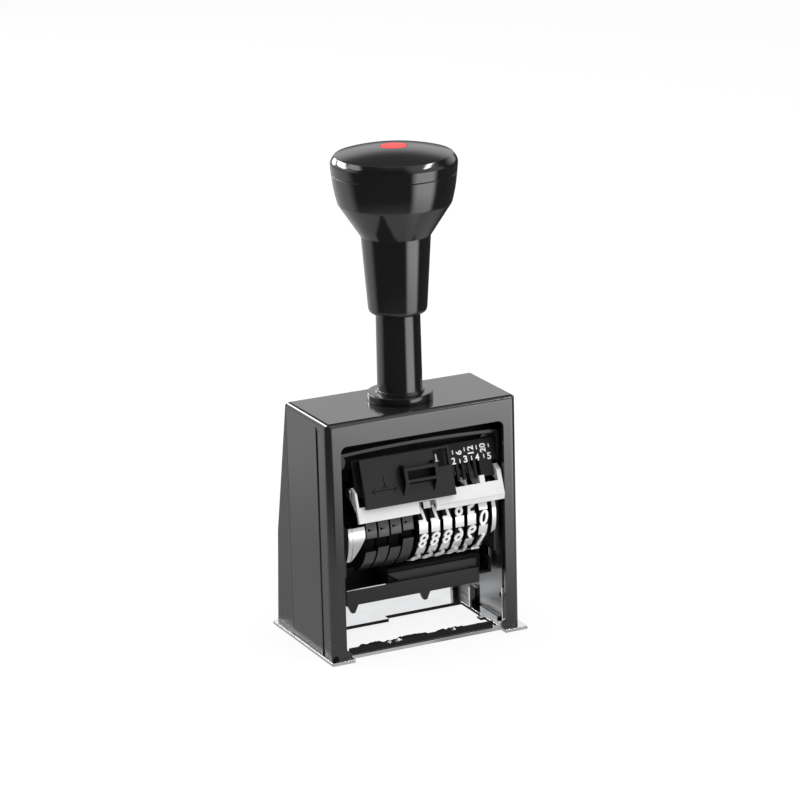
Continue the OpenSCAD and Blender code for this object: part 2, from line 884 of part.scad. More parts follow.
module end_plate_left() {
    flange_low = -7;
    flange_top = 3.6;
    flange_r = wheel_r - 0.2;
    flange_from = -plate_in + 0.5;
    end_plate(-plate_in, -plate_in + end_plate_t, flange_low, flange_top);
    // its front edge is bent inwards, wide above and narrow below
    color("#dcdddf") on_axle() intersection() {
        slab_x(flange_from, bank_left - touch)
            polygon(concat([for (i = [0:14]) flange_r * flange_way(i)],
                           [for (i = [14:-1:0]) (flange_r - 1) * flange_way(i)]));
        rotate([90, 0, 0])
            linear_extrude(wheel_r + 1)
                polygon([[flange_from - 1, flange_low + 0.1], [-plate_in + end_plate_t + 0.3, flange_low + 0.1],
                         [bank_left - touch + 1, flange_top - 1.5], [bank_left - touch + 1, flange_top - 0.1],
                         [flange_from - 1, flange_top - 0.1]]);
    }
}

function flange_way(i) = let (a = 3.5 * i - 33) [-cos(a), sin(a)];

module yoke_screws() {
    color("#9a9da0") from_front()
        for (side = [0, 1])
            mirror([side, 0, 0])
                for (y = yoke_screw_ys)
                    translate([0, y, yoke_screw_z]) {
                        bar_x(plate_in - flange_t, plate_out - 0.1, yoke_screw_r);
                        translate([plate_out - 0.9, 0, 0])
                            rotate([0, 90, 0])
                                cylinder(r1 = yoke_screw_r, r2 = yoke_screw_r + 0.7, h = 0.8, $fn = 32);
                    }
}

module wheel_axle() {
    groove = 0.4;
    color("#c9cbcd") on_axle() {
        bar_x(-axle_end + clip_t, axle_end - clip_t, axle_r);
        bar_x(-axle_end, axle_end, axle_r - groove);
    }
}

module axle_clips() {
    color("#8f9194") on_axle()
        for (side = [0, 1])
            mirror([side, 0, 0])
                difference() {
                    bar_x(axle_end - clip_t, axle_end, axle_r + 1.3);
                    bar_x(axle_end - 1, axle_end + 1, axle_r - 0.4);
                }
}

module axle_spacers() {
    left_from = -plate_in + end_plate_t;
    mid_from = bank_left + (blank_wheels - 1) * wheel_pitch + blank_w + touch / 2;
    color("#3a3a3c") on_axle() {
        axle_spacer(left_from, bank_left - touch / 2, axle_r + 2);
        axle_spacer(mid_from, number_left - touch / 2, axle_r + 4);
    }
}

module axle_spacer(x0, x1, r) {
    difference() {
        bar_x(x0, x1, r);
        bar_x(x0 - 1, x1 + 1, axle_r);
    }
}

// One spring strip with a finger over each wheel, riveted to the yoke's rear flange
module detent_comb() {
    finger_t = 0.4;
    finger_w = 2;
    rise = 7.2;
    drop = sqrt(pow(wheel_r + 0.35, 2) - pow(rise, 2));
    comb_y = axle_back + rise;
    finger_x = (type_w - finger_w) / 2;
    color("#b9bbbe") from_front() {
        block([bank_left, plate_rear - finger_t, yoke_under - 5], [bank_right, plate_rear, yoke_under - 1]);
        for (i = [0:blank_wheels + number_wheels - 1]) {
            x = (i < blank_wheels ? bank_left : number_left - blank_wheels * wheel_pitch) + i * wheel_pitch;
            slab_x(x + finger_x, x + finger_x + finger_w)
                polygon([[plate_rear, yoke_under - 4], [plate_rear - finger_t, yoke_under - 4],
                         [comb_y, axle_z + drop], [comb_y + finger_t, axle_z + drop]]);
        }
    }
}

// Hood of the mechanism, whose front edge is the arched rim above the panel
module mechanism_cover() {
    arch_r = (pow(hood_half, 2) + pow(hood_arch, 2)) / (2 * hood_arch);
    corner_r = 3;
    color("#212122") from_front() {
        difference() {
            hood_solid(hood_half, hood_top, arch_r, corner_r, hood_front, panel_back);
            hood_solid(hood_half - hood_wall, hood_top - hood_wall, arch_r, corner_r - hood_wall,
                       hood_front - 1, panel_back + 1, 1);
        }
        for (side = [-1, 1])
            difference() {
                translate([side * panel_bolt_x, panel_back - 2.6, panel_bolt_z])
                    rotate([-90, 0, 0])
                        cylinder(r = hood_half - panel_bolt_x - hood_wall / 2, h = 2.6, $fn = 32);
                translate([side * panel_bolt_x, panel_back - 2, panel_bolt_z])
                    rotate([-90, 0, 0])
                        cylinder(r = panel_bolt_r, h = 3, $fn = 24);
            }
    }
}

module hood_solid(half, top, arch_r, corner, front, rear, drop = 0) {
    translate([0, rear, 0])
        rotate([90, 0, 0])
            linear_extrude(rear - front)
                intersection() {
                    arch_outline(-half, half, hood_low - drop, top + hood_arch, corner);
                    translate([0, top + hood_arch - arch_r])
                        circle(arch_r, $fn = 720);
                }
}

// Sloping plate with the slider's rail, the comb slots and the ears of the bail
module front_plate() {
    ear_top = pivot_up + 2;
    wide_low = ear_top + 0.4;
    rail_y = plate_face - 0.8;
    color("#262627") {
        on_panel() {
            difference() {
                union() {
                    block([ear_left, plate_face, panel_low], [ear_right, plate_face + front_plate_t, panel_high]);
                    block([slider_left + 1.6, plate_face, wide_low],
                          [hood_half - hood_wall - 0.1, plate_face + front_plate_t, panel_high]);
                    for (x = [ear_left, ear_right - ear_t])
                        block([x, plate_face, panel_low], [x + ear_t, pivot_in + 1.4, ear_top]);
                }
                comb_slots();
                translate([0, pivot_in, pivot_up])
                    bar_x(ear_left - 1, ear_right + 1, pivot_r);
            }
            // rail of the repeat slider
            block([slider_left + 0.5, rail_y, 9], [slider_right - 1.2, plate_face + cut, 11]);
            block([slider_left + 0.5, rail_y - 0.6, 8.2], [slider_right - 1.2, rail_y, 11.8]);
        }
        panel_feet();
    }
}

// Two posts behind the front plate, which the yoke's flange is bolted to
module panel_feet() {
    foot_x = 14;
    foot_z = yoke_under - 7.4;
    from_front() for (side = [-1, 1])
        intersection() {
            translate([side * foot_x, 0, foot_z])
                rotate([-90, 0, 0])
                    cylinder(r = 2, h = panel_back, $fn = 32);
            translate([0, bail_depth, panel_z])
                rotate([-panel_tilt, 0, 0])
                    block([-hood_half, plate_face + front_plate_t / 2, 0], [hood_half, 12, 30]);
        }
}

module comb_slots() {
    slot_step = 1.87;
    slot_w = 1;
    first = bank_right - 10.6;
    for (i = [0:4])
        block([first + i * slot_step - slot_w / 2, plate_face - 1, panel_low - 1],
              [first + i * slot_step + slot_w / 2, plate_face + 3, panel_low + 5]);
}

// Bolts through the yoke's front flange into the hood
module panel_bolts() {
    color("#9a9da0") from_front()
        for (side = [-1, 1])
            translate([side * panel_bolt_x, 0, panel_bolt_z])
                rotate([-90, 0, 0]) {
                    translate([0, 0, panel_back - 1.8])
                        cylinder(r = panel_bolt_r, h = 1.8 + flange_t, $fn = 24);
                }
}

// ---- Wheels ----

// Rim of a number wheel: ten facets for the digits and ten plain ones between
module wheel_rim() {
    facet_r = wheel_r - type_relief;
    half_angle = atan(digit_facet / 2 / facet_r);
    corner = facet_r / cos(half_angle);
    polygon([for (i = [0:digits_per_wheel - 1]) for (side = [-1, 1])
                 let (a = i * digit_angle - 90 + side * half_angle) corner * [cos(a), sin(a)]]);
}

// Ratchet disc with one tooth for each digit
module ratchet() {
    polygon([for (i = [0:digits_per_wheel - 1]) for (step = [0, 1])
                 let (a = i * digit_angle + step * 8) (step == 0 ? ratchet_r : ratchet_r - 1.6) * [cos(a), sin(a)]]);
}

module number_wheel(i, phase = 0) {
    x = number_left + i * wheel_pitch;
    color("#c4c6c8") on_axle() difference() {
        union() {
            rotate([phase, 0, 0])
                slab_x(x, x + type_w)
                    wheel_rim();
            slab_x(x + type_w - cut, x + type_w + ratchet_w)
                ratchet();
        }
        bar_x(x - 1, x + wheel_pitch + 1, axle_r + axle_fit);
    }
}

module number_wheel_1() { number_wheel(0); }
module number_wheel_2() { number_wheel(1); }
module number_wheel_3() { number_wheel(2); }
module number_wheel_4() { number_wheel(3); }
module number_wheel_5() { number_wheel(4); }
module number_wheel_6() { number_wheel(5, digit_angle / 2); }

// Blank wheel: five lands, the notches between them and a stylus hole in each land
module blank_wheel(i, notch, turn) {
    x = bank_left + i * wheel_pitch;
    lands = 5;
    land_angle = 360 / lands;
    color("#2b2b2c") on_axle() difference() {
        slab_x(x, x + blank_w)
            difference() {
                circle(wheel_r, $fn = 96);
                for (k = [0:lands - 1])
                    rotate(180 - turn + k * land_angle)
                        notch_outline(notch);
            }
        bar_x(x - 1, x + wheel_pitch, axle_r + axle_fit);
        for (k = [0:lands - 1])
            rotate([180 - turn - k * land_angle - notch / 2 - 11, 0, 0])
                translate([x + 0.95, wheel_r - 1, 0])
                    rotate([-90, 0, 0])
                        cylinder(r = 0.32, h = 2, $fn = 16);
    }
}

module notch_outline(notch) {
    inner = wheel_r - notch_depth;
    outer = wheel_r + 1;
    difference() {
        polygon([[0, 0], outer * [cos(notch / 2), sin(notch / 2)] * 1.1,
                 outer * [cos(notch / 2), -sin(notch / 2)] * 1.1]);
        circle(inner, $fn = 96);
    }
}

module blank_wheel_1() { blank_wheel(0, 19, -10.5); }
module blank_wheel_2() { blank_wheel(1, 14, -8.5); }
module blank_wheel_3() { blank_wheel(2, 19, -10); }
module blank_wheel_4() { blank_wheel(3, 11, -4); }

// ---- Repeat slider and advance bail ----

module repeat_slider() {
    face = -slider_back - slider_t;
    reading_w = 5.4;
    reading_up = 8.6;
    color("#1e1e1f") on_panel() {
        difference() {
            block([slider_left, face, slider_low], [slider_right, -slider_back, slider_high]);
            // reading cut-out, open at the top
            block([slider_right - reading_w, face - 1, slider_low + reading_up],
                  [slider_right - 0.9, 0, slider_high - 0.6]);
        }
        slider_claws();
        slider_grip(face);
    }
}

// Two lips at the back that hook round the rail
module slider_claws() {
    claw_left = slider_left;
    claw_right = slider_left + 10.6;
    hook_y = plate_face - 0.8 + slider_play;
    for (side = [-1, 1]) {
        outer = side > 0 ? 12.8 : 7.2;
        wall_in = side > 0 ? 11.8 + slider_play : 8.2 - slider_play;
        hook_in = side > 0 ? 11 + slider_play + 0.05 : 9 - slider_play - 0.05;
        block([claw_left, -slider_back - cut, min(outer, wall_in)],
              [claw_right, plate_face - slider_play, max(outer, wall_in)]);
        block([claw_left, hook_y, min(wall_in, hook_in)],
              [claw_right, plate_face - slider_play, max(wall_in, hook_in)]);
    }
}

// Finger grip: two fins joined by a bar at the top and a web between them
module slider_grip(face) {
    out = face - grip_out;
    fin_t = 1.1;
    for (x = [grip_left, grip_left + grip_w - fin_t])
        slab_x(x, x + fin_t)
            polygon([[face + cut, slider_low + 1.9], [out, grip_mid], [out, grip_high], [face + cut, grip_high + 1.2]]);
    block([grip_left, out, grip_high - 0.9], [grip_left + grip_w, out + 0.9, grip_high]);
    slab_x(grip_left, grip_left + grip_w)
        polygon([[face + cut, grip_mid - 0.6], [out, grip_mid], [out, grip_mid + 0.8], [face + cut, grip_mid + 0.5]]);
}

// The bail hangs from its two arms. Its bar is notched in the middle for the pawl.
notch_left = -2;
notch_right = 3.3;

module advance_bail() {
    chamfer = 1.4;
    arm_top = pivot_up + 1.3;
    peg_x = bank_right - 10.6 + 4 * 1.87;
    color("#e2e3e4") on_panel() difference() {
        union() {
            block([bail_left, 0, bail_low_h - 0.2], [slider_right - 2, bail_t, 4.6]);
            block([notch_right, 0, chamfer], [bail_right, bail_t, bail_h]);
            block([bail_left, 0, 0], [notch_left, bail_t, bail_low_h]);
            bail_chamfer(notch_right, bail_right, chamfer);
            block([peg_x - 0.85, 0, bail_h - cut], [peg_x + 0.85, bail_t, bail_h + 2.2]);
            bail_arm(bail_left, bail_left + bail_left_arm, bail_low_h, arm_top);
            bail_arm(bail_right - bail_right_arm, bail_right, bail_h, arm_top);
        }
        translate([0, pivot_in, pivot_up])
            bar_x(bail_left - 1, bail_right + 1, pivot_r + 0.05);
    }
}

// The lower edge of the bar's right part turns inwards
module bail_chamfer(x0, x1, rise) {
    slab_x(x0, x1)
        polygon([[0, rise + cut], [bail_t * 0.8, 0], [bail_t * 1.7, 0], [bail_t, rise + cut]]);
}

module bail_arm(x0, x1, low, high) {
    slab_x(x0, x1)
        union() {
            polygon([[0, low - 0.5], [bail_t, low - 0.5], [pivot_in + 1.3, pivot_up - 1.3],
                     [pivot_in + 1.3, high], [pivot_in - 1.3, high], [0, pivot_up - 0.6]]);
        }
}

// Steel pawl in the bail's notch, reaching to the first number wheel
module drive_pawl() {
    color("#c9cbcd") on_panel() {
        block([-0.8, bail_t, 1.2], [1.5, bail_t + 0.7, 6.4]);
        block([-0.8, 0.1, 1.2], [1.5, bail_t + cut, 3.2]);
    }
}

module bail_pivots() {
    color("#b9bbbe") on_panel() translate([0, pivot_in, pivot_up]) {
        bar_x(bail_left - 0.7, ear_left + ear_t, pivot_r);
        bar_x(bail_left - 0.7, bail_left - 0.15, pivot_r + 0.6);
        bar_x(ear_right - ear_t, bail_right + 0.6, pivot_r);
        bar_x(bail_right + 0.1, bail_right + 0.6, pivot_r + 0.6);
    }
}

// ---- Ink pad ----

module pad_arm() {
    hub_r = 4.4;
    color("#b9bbbe") on_axle() difference() {
        union() {
            bar_x(arm_in, arm_out, hub_r);
            slab_x(arm_in, arm_out)
                polygon([[-3, 0], [3, 0], [arm_half, -arm_reach], [-arm_half, -arm_reach]]);
        }
        bar_x(arm_in - 1, arm_out + 1, axle_r + axle_fit);
        for (y = [-2, 2])
            translate([0, y, rivet_z()])
                bar_x(arm_in - 1, arm_out + 1, 0.8);
    }
}

function rivet_z() = -arm_reach + 2;

module pad_arm_right() {
    pad_arm();
}

module pad_arm_left() {
    mirror([1, 0, 0])
        pad_arm();
}

// Steel tray between the arms: a floor with its back and its two ends turned up
module pad_tray() {
    color("#4a4a4c") on_axle() difference() {
        union() {
            block([-arm_in, -4.8, tray_floor()], [arm_in, tray_back, tray_floor() + arm_t]);
            block([-arm_in, tray_back - 0.5, tray_floor()], [arm_in, tray_back, -felt_r - 0.3]);
            for (side = [0, 1])
                mirror([side, 0, 0])
                    block([arm_in - arm_t, -4.8, tray_floor()], [arm_in, tray_back, tray_floor() + 4.4]);
        }
        for (y = [-2, 2])
            translate([0, y, rivet_z()])
                bar_x(-arm_in - 1, arm_in + 1, 0.8);
    }
}

function tray_floor() = -pad_bottom_r + cassette_wall + 0.1;

module pad_rivets() {
    color("#8f9194") on_axle()
        for (side = [0, 1])
            mirror([side, 0, 0])
                for (y = [-2, 2])
                    translate([0, y, rivet_z()]) {
                        bar_x(arm_in - arm_t, arm_out, 0.8);
                        bar_x(arm_out, arm_out + 0.25, 1.3);
                    }
}

// Cassette that holds the tray's floor between its front and back walls
module pad_cassette() {
    low = -pad_bottom_r;
    front = -cassette_d / 2;
    back = cassette_d / 2;
    lip_high = low + 4.6;
    holder_high = low + 7.2;
    color("#1a1a1b") on_axle() {
        block([cassette_left, front, low], [cassette_right, back, low + cassette_wall]);
        block([cassette_left, back - cassette_wall, low], [cassette_right, back, lip_high]);
        block([cassette_left, front, low], [cassette_right, front + cassette_wall, lip_high]);
        // thin wall in front of the felt, cut back below its left corner
        translate([0, -felt_half - 0.05, 0])
            rotate([90, 0, 0])
                linear_extrude(tray_back - felt_half)
                    polygon([[felt_left + 3.6, low + cut], [cassette_right, low + cut], [cassette_right, holder_high],
                             [felt_left, holder_high], [felt_left, holder_high - 0.4], [felt_left + 3.6, lip_high - 0.3]]);
        for (x = [cassette_left + 2.2, number_left + 4.2])
            translate([x, front + cassette_wall + 0.2, low + cut])
                rotate([90, 0, 0])
                    linear_extrude(cassette_wall + 0.2)
                        polygon([[-lobe_w / 2, 0], [-0.5, -lobe_h], [0.5, -lobe_h], [lobe_w / 2, 0]]);
    }
}

module ink_pad() {
    color("#101011") on_axle()
        block([felt_left, -felt_half, tray_floor() + arm_t], [felt_right, felt_half, -felt_r]);
}

housing_shell();
rear_cover();
base_plate();
guide_cheek_left();
guide_cheek_right();
guide_tube();
tube_nut();
rod_bush();
return_spring();
base_screws();
cover_screws();
knob_body();
knob_cap();
cap_disc();
grip_sleeve();
plunger_rod();
spring_washer();
rod_nut();
carriage_yoke();
carriage_plate_left();
carriage_plate_right();
end_plate_left();
end_plate_right();
yoke_screws();
wheel_axle();
axle_clips();
axle_spacers();
detent_comb();
mechanism_cover();
front_plate();
panel_bolts();
number_wheel_1();
number_wheel_2();
number_wheel_3();
number_wheel_4();
number_wheel_5();
number_wheel_6();
blank_wheel_1();
blank_wheel_2();
blank_wheel_3();
blank_wheel_4();
repeat_slider();
advance_bail();
drive_pawl();
bail_pivots();
pad_arm_left();
pad_arm_right();
pad_tray();
pad_rivets();
pad_cassette();
ink_pad();
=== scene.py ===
import json
import math
import random

import bmesh
import bpy
from mathutils import Matrix, Vector


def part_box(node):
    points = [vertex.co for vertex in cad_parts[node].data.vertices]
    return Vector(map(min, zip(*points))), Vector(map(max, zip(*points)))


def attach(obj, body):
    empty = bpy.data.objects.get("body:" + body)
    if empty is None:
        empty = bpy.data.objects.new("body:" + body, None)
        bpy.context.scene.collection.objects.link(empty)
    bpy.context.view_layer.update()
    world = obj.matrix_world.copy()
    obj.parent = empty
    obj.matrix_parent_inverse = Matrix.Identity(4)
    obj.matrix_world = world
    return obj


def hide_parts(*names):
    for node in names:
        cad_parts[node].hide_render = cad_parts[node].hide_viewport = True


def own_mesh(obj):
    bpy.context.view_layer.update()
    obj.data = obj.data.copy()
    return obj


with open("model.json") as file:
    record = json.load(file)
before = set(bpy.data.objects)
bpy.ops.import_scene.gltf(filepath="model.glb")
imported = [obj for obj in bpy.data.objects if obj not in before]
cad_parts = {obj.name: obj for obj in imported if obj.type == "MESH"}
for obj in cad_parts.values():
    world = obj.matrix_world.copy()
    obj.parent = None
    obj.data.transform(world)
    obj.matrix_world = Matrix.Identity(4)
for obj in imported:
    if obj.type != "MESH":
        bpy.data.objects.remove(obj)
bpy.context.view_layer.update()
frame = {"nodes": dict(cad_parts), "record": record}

# ---- Casing ----
# The main moulding: a deep gloss-black plastic box, open at the back, with a window
# whose columns stand on the base plate. Its upright edges and its top edges are
# rounded in the mould, and a fine groove runs down each side.

mm = 0.001
casing_black = (0.009, 0.009, 0.0095, 1)
casing_edge = 0.16 * mm
weld = 0.002 * mm
coplanar_angle = math.radians(0.3)
crease_angle = math.radians(32)
edge_angle = math.radians(34)


class Shade:
    """A value inside a material: arithmetic on it adds Math nodes."""

    def __init__(self, tree, socket=None):
        self.tree = tree
        self.socket = socket

    def node(self, kind, settings=None, sockets=None, out=0):
        """Adds a node. Its settings come first, then the values or links of its sockets."""
        new = self.tree.nodes.new("ShaderNode" + kind)
        for key, value in (settings or {}).items():
            setattr(new, key, value)
        for key, value in (sockets or {}).items():
            if isinstance(value, Shade):
                self.tree.links.new(value.socket, new.inputs[key])
            else:
                new.inputs[key].default_value = value
        return Shade(self.tree, new.outputs[out] if new.outputs else None)

    def maths(self, operation, first, second):
        return self.node("Math", {"operation": operation}, {0: first, 1: second})

    def __add__(self, other):
        return self.maths("ADD", self, other)

    def __sub__(self, other):
        return self.maths("SUBTRACT", self, other)

    def __rsub__(self, other):
        return self.maths("SUBTRACT", other, self)

    def __mul__(self, other):
        return self.maths("MULTIPLY", self, other)

    __radd__ = __add__
    __rmul__ = __mul__

    def noise(self, place, scale, detail=2.0, roughness=0.5):
        sockets = {"Vector": place, "Scale": scale, "Detail": detail, "Roughness": roughness}
        return self.node("TexNoise", sockets=sockets)

    def between(self, share, first, second):
        """Mixes two colours."""
        return self.node("Mix", {"data_type": "RGBA"}, {0: share, 6: first, 7: second}, out=2)

    def relief(self, height, strength, depth):
        return self.node("Bump", sockets={"Height": height, "Strength": strength, "Distance": depth})


def open_finish(name):
    """Starts a material. The second result begins the arithmetic inside it."""
    skin = bpy.data.materials.new(name)
    skin.use_nodes = True
    skin.node_tree.nodes.clear()
    return skin, Shade(skin.node_tree)


def close_finish(start, sockets):
    """Ends a material with its shader."""
    shader = start.node("BsdfPrincipled", sockets=sockets)
    start.node("OutputMaterial", sockets={"Surface": shader})


def moulded_plastic(name, colour, gloss, ripple=0.12, worn=1.35, shine=0.5):
    """Polished black moulding: a little orange peel, faint haze and a few dull specks."""
    skin, start = open_finish(name)
    place = start.node("TexCoord", out="Object")
    haze = start.noise(place, 70.0, 4.0)
    speck = start.noise(place, 1900.0, 2.0)
    peel = start.noise(place, 420.0, 2.0)
    paler = tuple(channel * worn for channel in colour[:3]) + (1,)
    close_finish(start, {
        "Base Color": start.between(haze, colour, paler),
        "Roughness": gloss + (haze - 0.5) * 0.06 + (speck - 0.5) * 0.05,
        "Normal": start.relief(peel, ripple, 0.02 * mm),
        "Specular IOR Level": shine,
    })
    return skin


bodies = frame["record"]["behaviour"]["bodies"]
body_names = {member: body for body, members in bodies.items() for member in members}


def settle(name, shape, node, *skins):
    """Makes an object of a finished shape, in the place of a solid and riding with it."""
    mesh = bpy.data.meshes.new(name)
    shape.to_mesh(mesh)
    shape.free()
    for skin in skins:
        mesh.materials.append(skin)
    mesh.shade_smooth()
    mesh.set_sharp_from_angle(angle=crease_angle)
    piece = bpy.data.objects.new(name, mesh)
    bpy.context.scene.collection.objects.link(piece)
    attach(piece, body_names[node])
    return piece


def solid_copy(node):
    """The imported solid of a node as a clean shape, its triangles joined into flats."""
    shape = bmesh.new()
    shape.from_mesh(frame["nodes"][node].data)
    bmesh.ops.remove_doubles(shape, verts=shape.verts, dist=weld)
    bmesh.ops.dissolve_limit(shape, angle_limit=coplanar_angle, verts=shape.verts, edges=shape.edges)
    for face in shape.faces:
        face.material_index = 0
    return shape


def even_flats(piece, keep_sharp):
    """Keeps the shading of the flats even up to their edges."""
    flats = piece.modifiers.new("even_flats", "WEIGHTED_NORMAL")
    flats.weight = 100
    flats.keep_sharp = keep_sharp


def break_edges(piece, width, steps=2):
    """Rounds the sharp edges by a hair, so that they catch the light, and keeps the flats even."""
    bevel = piece.modifiers.new("broken_edges", "BEVEL")
    bevel.width = width
    bevel.segments = steps
    bevel.limit_method = "ANGLE"
    bevel.angle_limit = edge_angle
    bevel.use_clamp_overlap = False
    even_flats(piece, False)


def softened(node, name, width, skin, steps=2):
    """A solid's own shape with broken edges and a proper finish, in the solid's place."""
    piece = settle(name, solid_copy(node), node, skin)
    piece.data.set_sharp_from_angle(angle=math.pi)
    break_edges(piece, width, steps)
    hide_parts(node)


gloss_black = moulded_plastic("gloss_black", casing_black, 0.12, shine=1.0)
softened("housing_shell", "casing_moulding", casing_edge, gloss_black, 3)

# ---- Rear cover ----
# A second black moulding closes the back. Its faces are grained like leather, and its
# low opening lets the ink pad swing out. Two screws hold it to bosses of the casing.

cover_black = (0.034, 0.034, 0.0345, 1)


def grained_plastic(name, colour, roughness, cell, depth):
    """Moulded grain: small cells with soft furrows between them."""
    skin, start = open_finish(name)
    place = start.node("TexCoord", out="Object")
    cells = start.node("TexVoronoi", {"feature": "SMOOTH_F1"}, {"Vector": place, "Scale": 1 / cell})
    drift = start.noise(place, 60.0, 3.0)
    fine = start.noise(place, 1600.0, 2.0)
    paler = tuple(channel * 1.5 for channel in colour[:3]) + (1,)
    close_finish(start, {
        "Base Color": start.between(drift, colour, paler),
        "Roughness": roughness + cells * 0.12 + (fine - 0.5) * 0.08,
        "Normal": start.relief(cells + fine * 0.3, 0.5, depth),
    })
    return skin


grained_black = grained_plastic("grained_black", cover_black, 0.42, cell=0.9 * mm, depth=0.12 * mm)
softened("rear_cover", "rear_moulding", casing_edge, grained_black)

# ---- Base plate ----
# A flat plate of chromed steel with the print opening cut in it. Along the front of the
# opening the edge is turned up into a low lip, and small burrs of the press show there.

chrome_bright = (0.86, 0.87, 0.88, 1)


def plated_steel(name, colour, roughness, stretch=(1, 1, 1), wave=0.1, metal=1.0):
    """Bright plating over rolled sheet: faint streaks along the sheet, and soft dents."""
    skin, start = open_finish(name)
    place = start.node("TexCoord", out="Object")
    drawn = start.node("Mapping", sockets={"Vector": place, "Scale": stretch})
    streak = start.noise(drawn, 900.0, 3.0)
    cloud = start.noise(place, 130.0, 3.0)
    dull = tuple(channel * 0.82 for channel in colour[:3]) + (1,)
    close_finish(start, {
        "Base Color": start.between(cloud, colour, dull),
        "Metallic": metal,
        "Roughness": roughness + (streak - 0.5) * 0.12 + (cloud - 0.5) * 0.05,
        "Normal": start.relief(cloud + streak * 0.1, wave, 0.05 * mm),
    })
    return skin


def blackened_steel(name, colour, roughness, shine=0.6):
    """Blackened steel: satin, with paler rubbed patches and a fine rolled grain."""
    skin, start = open_finish(name)
    place = start.node("TexCoord", out="Object")
    rubbed = start.noise(place, 160.0, 4.0)
    grain = start.noise(place, 2400.0, 2.0)
    paler = tuple(channel * 1.7 for channel in colour[:3]) + (1,)
    close_finish(start, {
        "Base Color": start.between(rubbed, colour, paler),
        "Metallic": 0.0,
        "Roughness": roughness + (rubbed - 0.5) * 0.12 + (grain - 0.5) * 0.1,
        "Normal": start.relief(grain, 0.15, 0.02 * mm),
        "Specular IOR Level": shine,
    })
    return skin


chrome_sheet = plated_steel("chrome_sheet", chrome_bright, 0.1, (1, 0.05, 1))
sheared_steel = blackened_steel("sheared_steel", (0.006, 0.006, 0.006, 1), 0.5, 0.3)
casing_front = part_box("housing_shell")[0].y
plate_top = 1.0 * mm
opening_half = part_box("base_plate")[1].x - 7.3 * mm
opening_front, opening_back = 1.5 * mm, 27 * mm
slack = 0.1 * mm
shape = solid_copy("base_plate")
for face in shape.faces:
    middle = face.calc_center_median()
    inside = (abs(middle.x) < opening_half + slack
              and opening_front < middle.y - casing_front < opening_back)
    if (inside and abs(face.normal.z) < 0.3) or middle.z > plate_top + slack:
        face.material_index = 1
base = settle("base_pressing", shape, "base_plate", chrome_sheet, sheared_steel)
break_edges(base, 0.1 * mm)
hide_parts("base_plate")

# the burrs on the lip: a thin torn edge, high in some places and almost gone in others
burr_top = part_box("base_plate")[1].z
burr_root = 0.3 * mm
burr_count = 110
burr_t = 0.35 * mm
press = random.Random(12)
shape = bmesh.new()
bmesh.ops.create_grid(shape, x_segments=burr_count, y_segments=1, size=0.5)
tear = 0.0
for corner in sorted(shape.verts, key=lambda corner: corner.co.x):
    if corner.co.y > 0:
        tear = max(0.0, min(0.9, tear + press.uniform(-0.3, 0.3)))
    height = burr_top - burr_root if corner.co.y < 0 else burr_top + (tear - 0.15) * mm
    corner.co = Vector((corner.co.x * (2 * opening_half - 2 * mm) - 1 * mm,
                        casing_front + 2.2 * mm + press.uniform(0, 0.08) * mm, height))
bmesh.ops.solidify(shape, geom=shape.faces[:], thickness=burr_t)
bmesh.ops.recalc_face_normals(shape, faces=shape.faces)
settle("lip_burrs", shape, "base_plate", sheared_steel)

# three chips of plating that lifted where the press tore through
shape = bmesh.new()
for x, breadth in ((-11.5, 1.5), (-8.6, 2.1), (9.2, 1.3)):
    chip = bmesh.ops.create_icosphere(shape, subdivisions=2, radius=0.5 * mm)["verts"]
    for corner in chip:
        corner.co *= 1 + press.uniform(-0.25, 0.25)
    chip_place = Matrix.Translation((x * mm, casing_front + 1.75 * mm, burr_top - 0.1 * mm))
    bmesh.ops.transform(shape, verts=chip, matrix=chip_place @ Matrix.Diagonal((breadth, 0.4, 0.7, 1)))
settle("plating_chips", shape, "base_plate", chrome_sheet)

# ---- Guide cheeks ----
# Two thin bright plates inside the casing's sides, which guide the carriage.
# They stand on small feet and are held by the base screws.

cheek_steel = plated_steel("cheek_steel", (0.12, 0.122, 0.124, 1), 0.34, (1, 1, 0.3), 0.6)
softened("guide_cheek_left", "left_cheek", 0.08 * mm, cheek_steel)
softened("guide_cheek_right", "right_cheek", 0.08 * mm, cheek_steel)

# ---- Guide tube ----
# The neck of the casing, turned and polished black: a thick collar with broken edges,
# a low ring and a slightly tapered tube with a shank through the casing's roof.

handle_axis = (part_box("guide_tube")[0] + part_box("guide_tube")[1]) / 2
casing_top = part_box("housing_shell")[1].z / mm
tube_foot_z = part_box("guide_tube")[0].z / mm
tube_head_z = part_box("guide_tube")[1].z / mm
collar_r = (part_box("guide_tube")[1].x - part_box("guide_tube")[0].x) / 2 / mm
collar_h = 2.35
ring_r = 7.05
ring_h = 0.7
tube_bore = 5.0
tube_r = 6.35
shank_r = 7.5


def rounded(outline, steps=6):
    """Points of an outline in millimetres: (radius, height, rounding of that corner)."""
    points = []
    for i, (radius, height, rounding) in enumerate(outline):
        here = Vector((radius, 0, height))
        if not rounding:
            points.append(here)
            continue
        before = Vector((outline[i - 1][0], 0, outline[i - 1][1]))
        after = outline[(i + 1) % len(outline)]
        after = Vector((after[0], 0, after[1]))
        start = here + (before - here).normalized() * rounding
        end = here + (after - here).normalized() * rounding
        for step in range(steps + 1):
            t = step / steps
            points.append(start * (1 - t) ** 2 + here * 2 * t * (1 - t) + end * t * t)
    return points


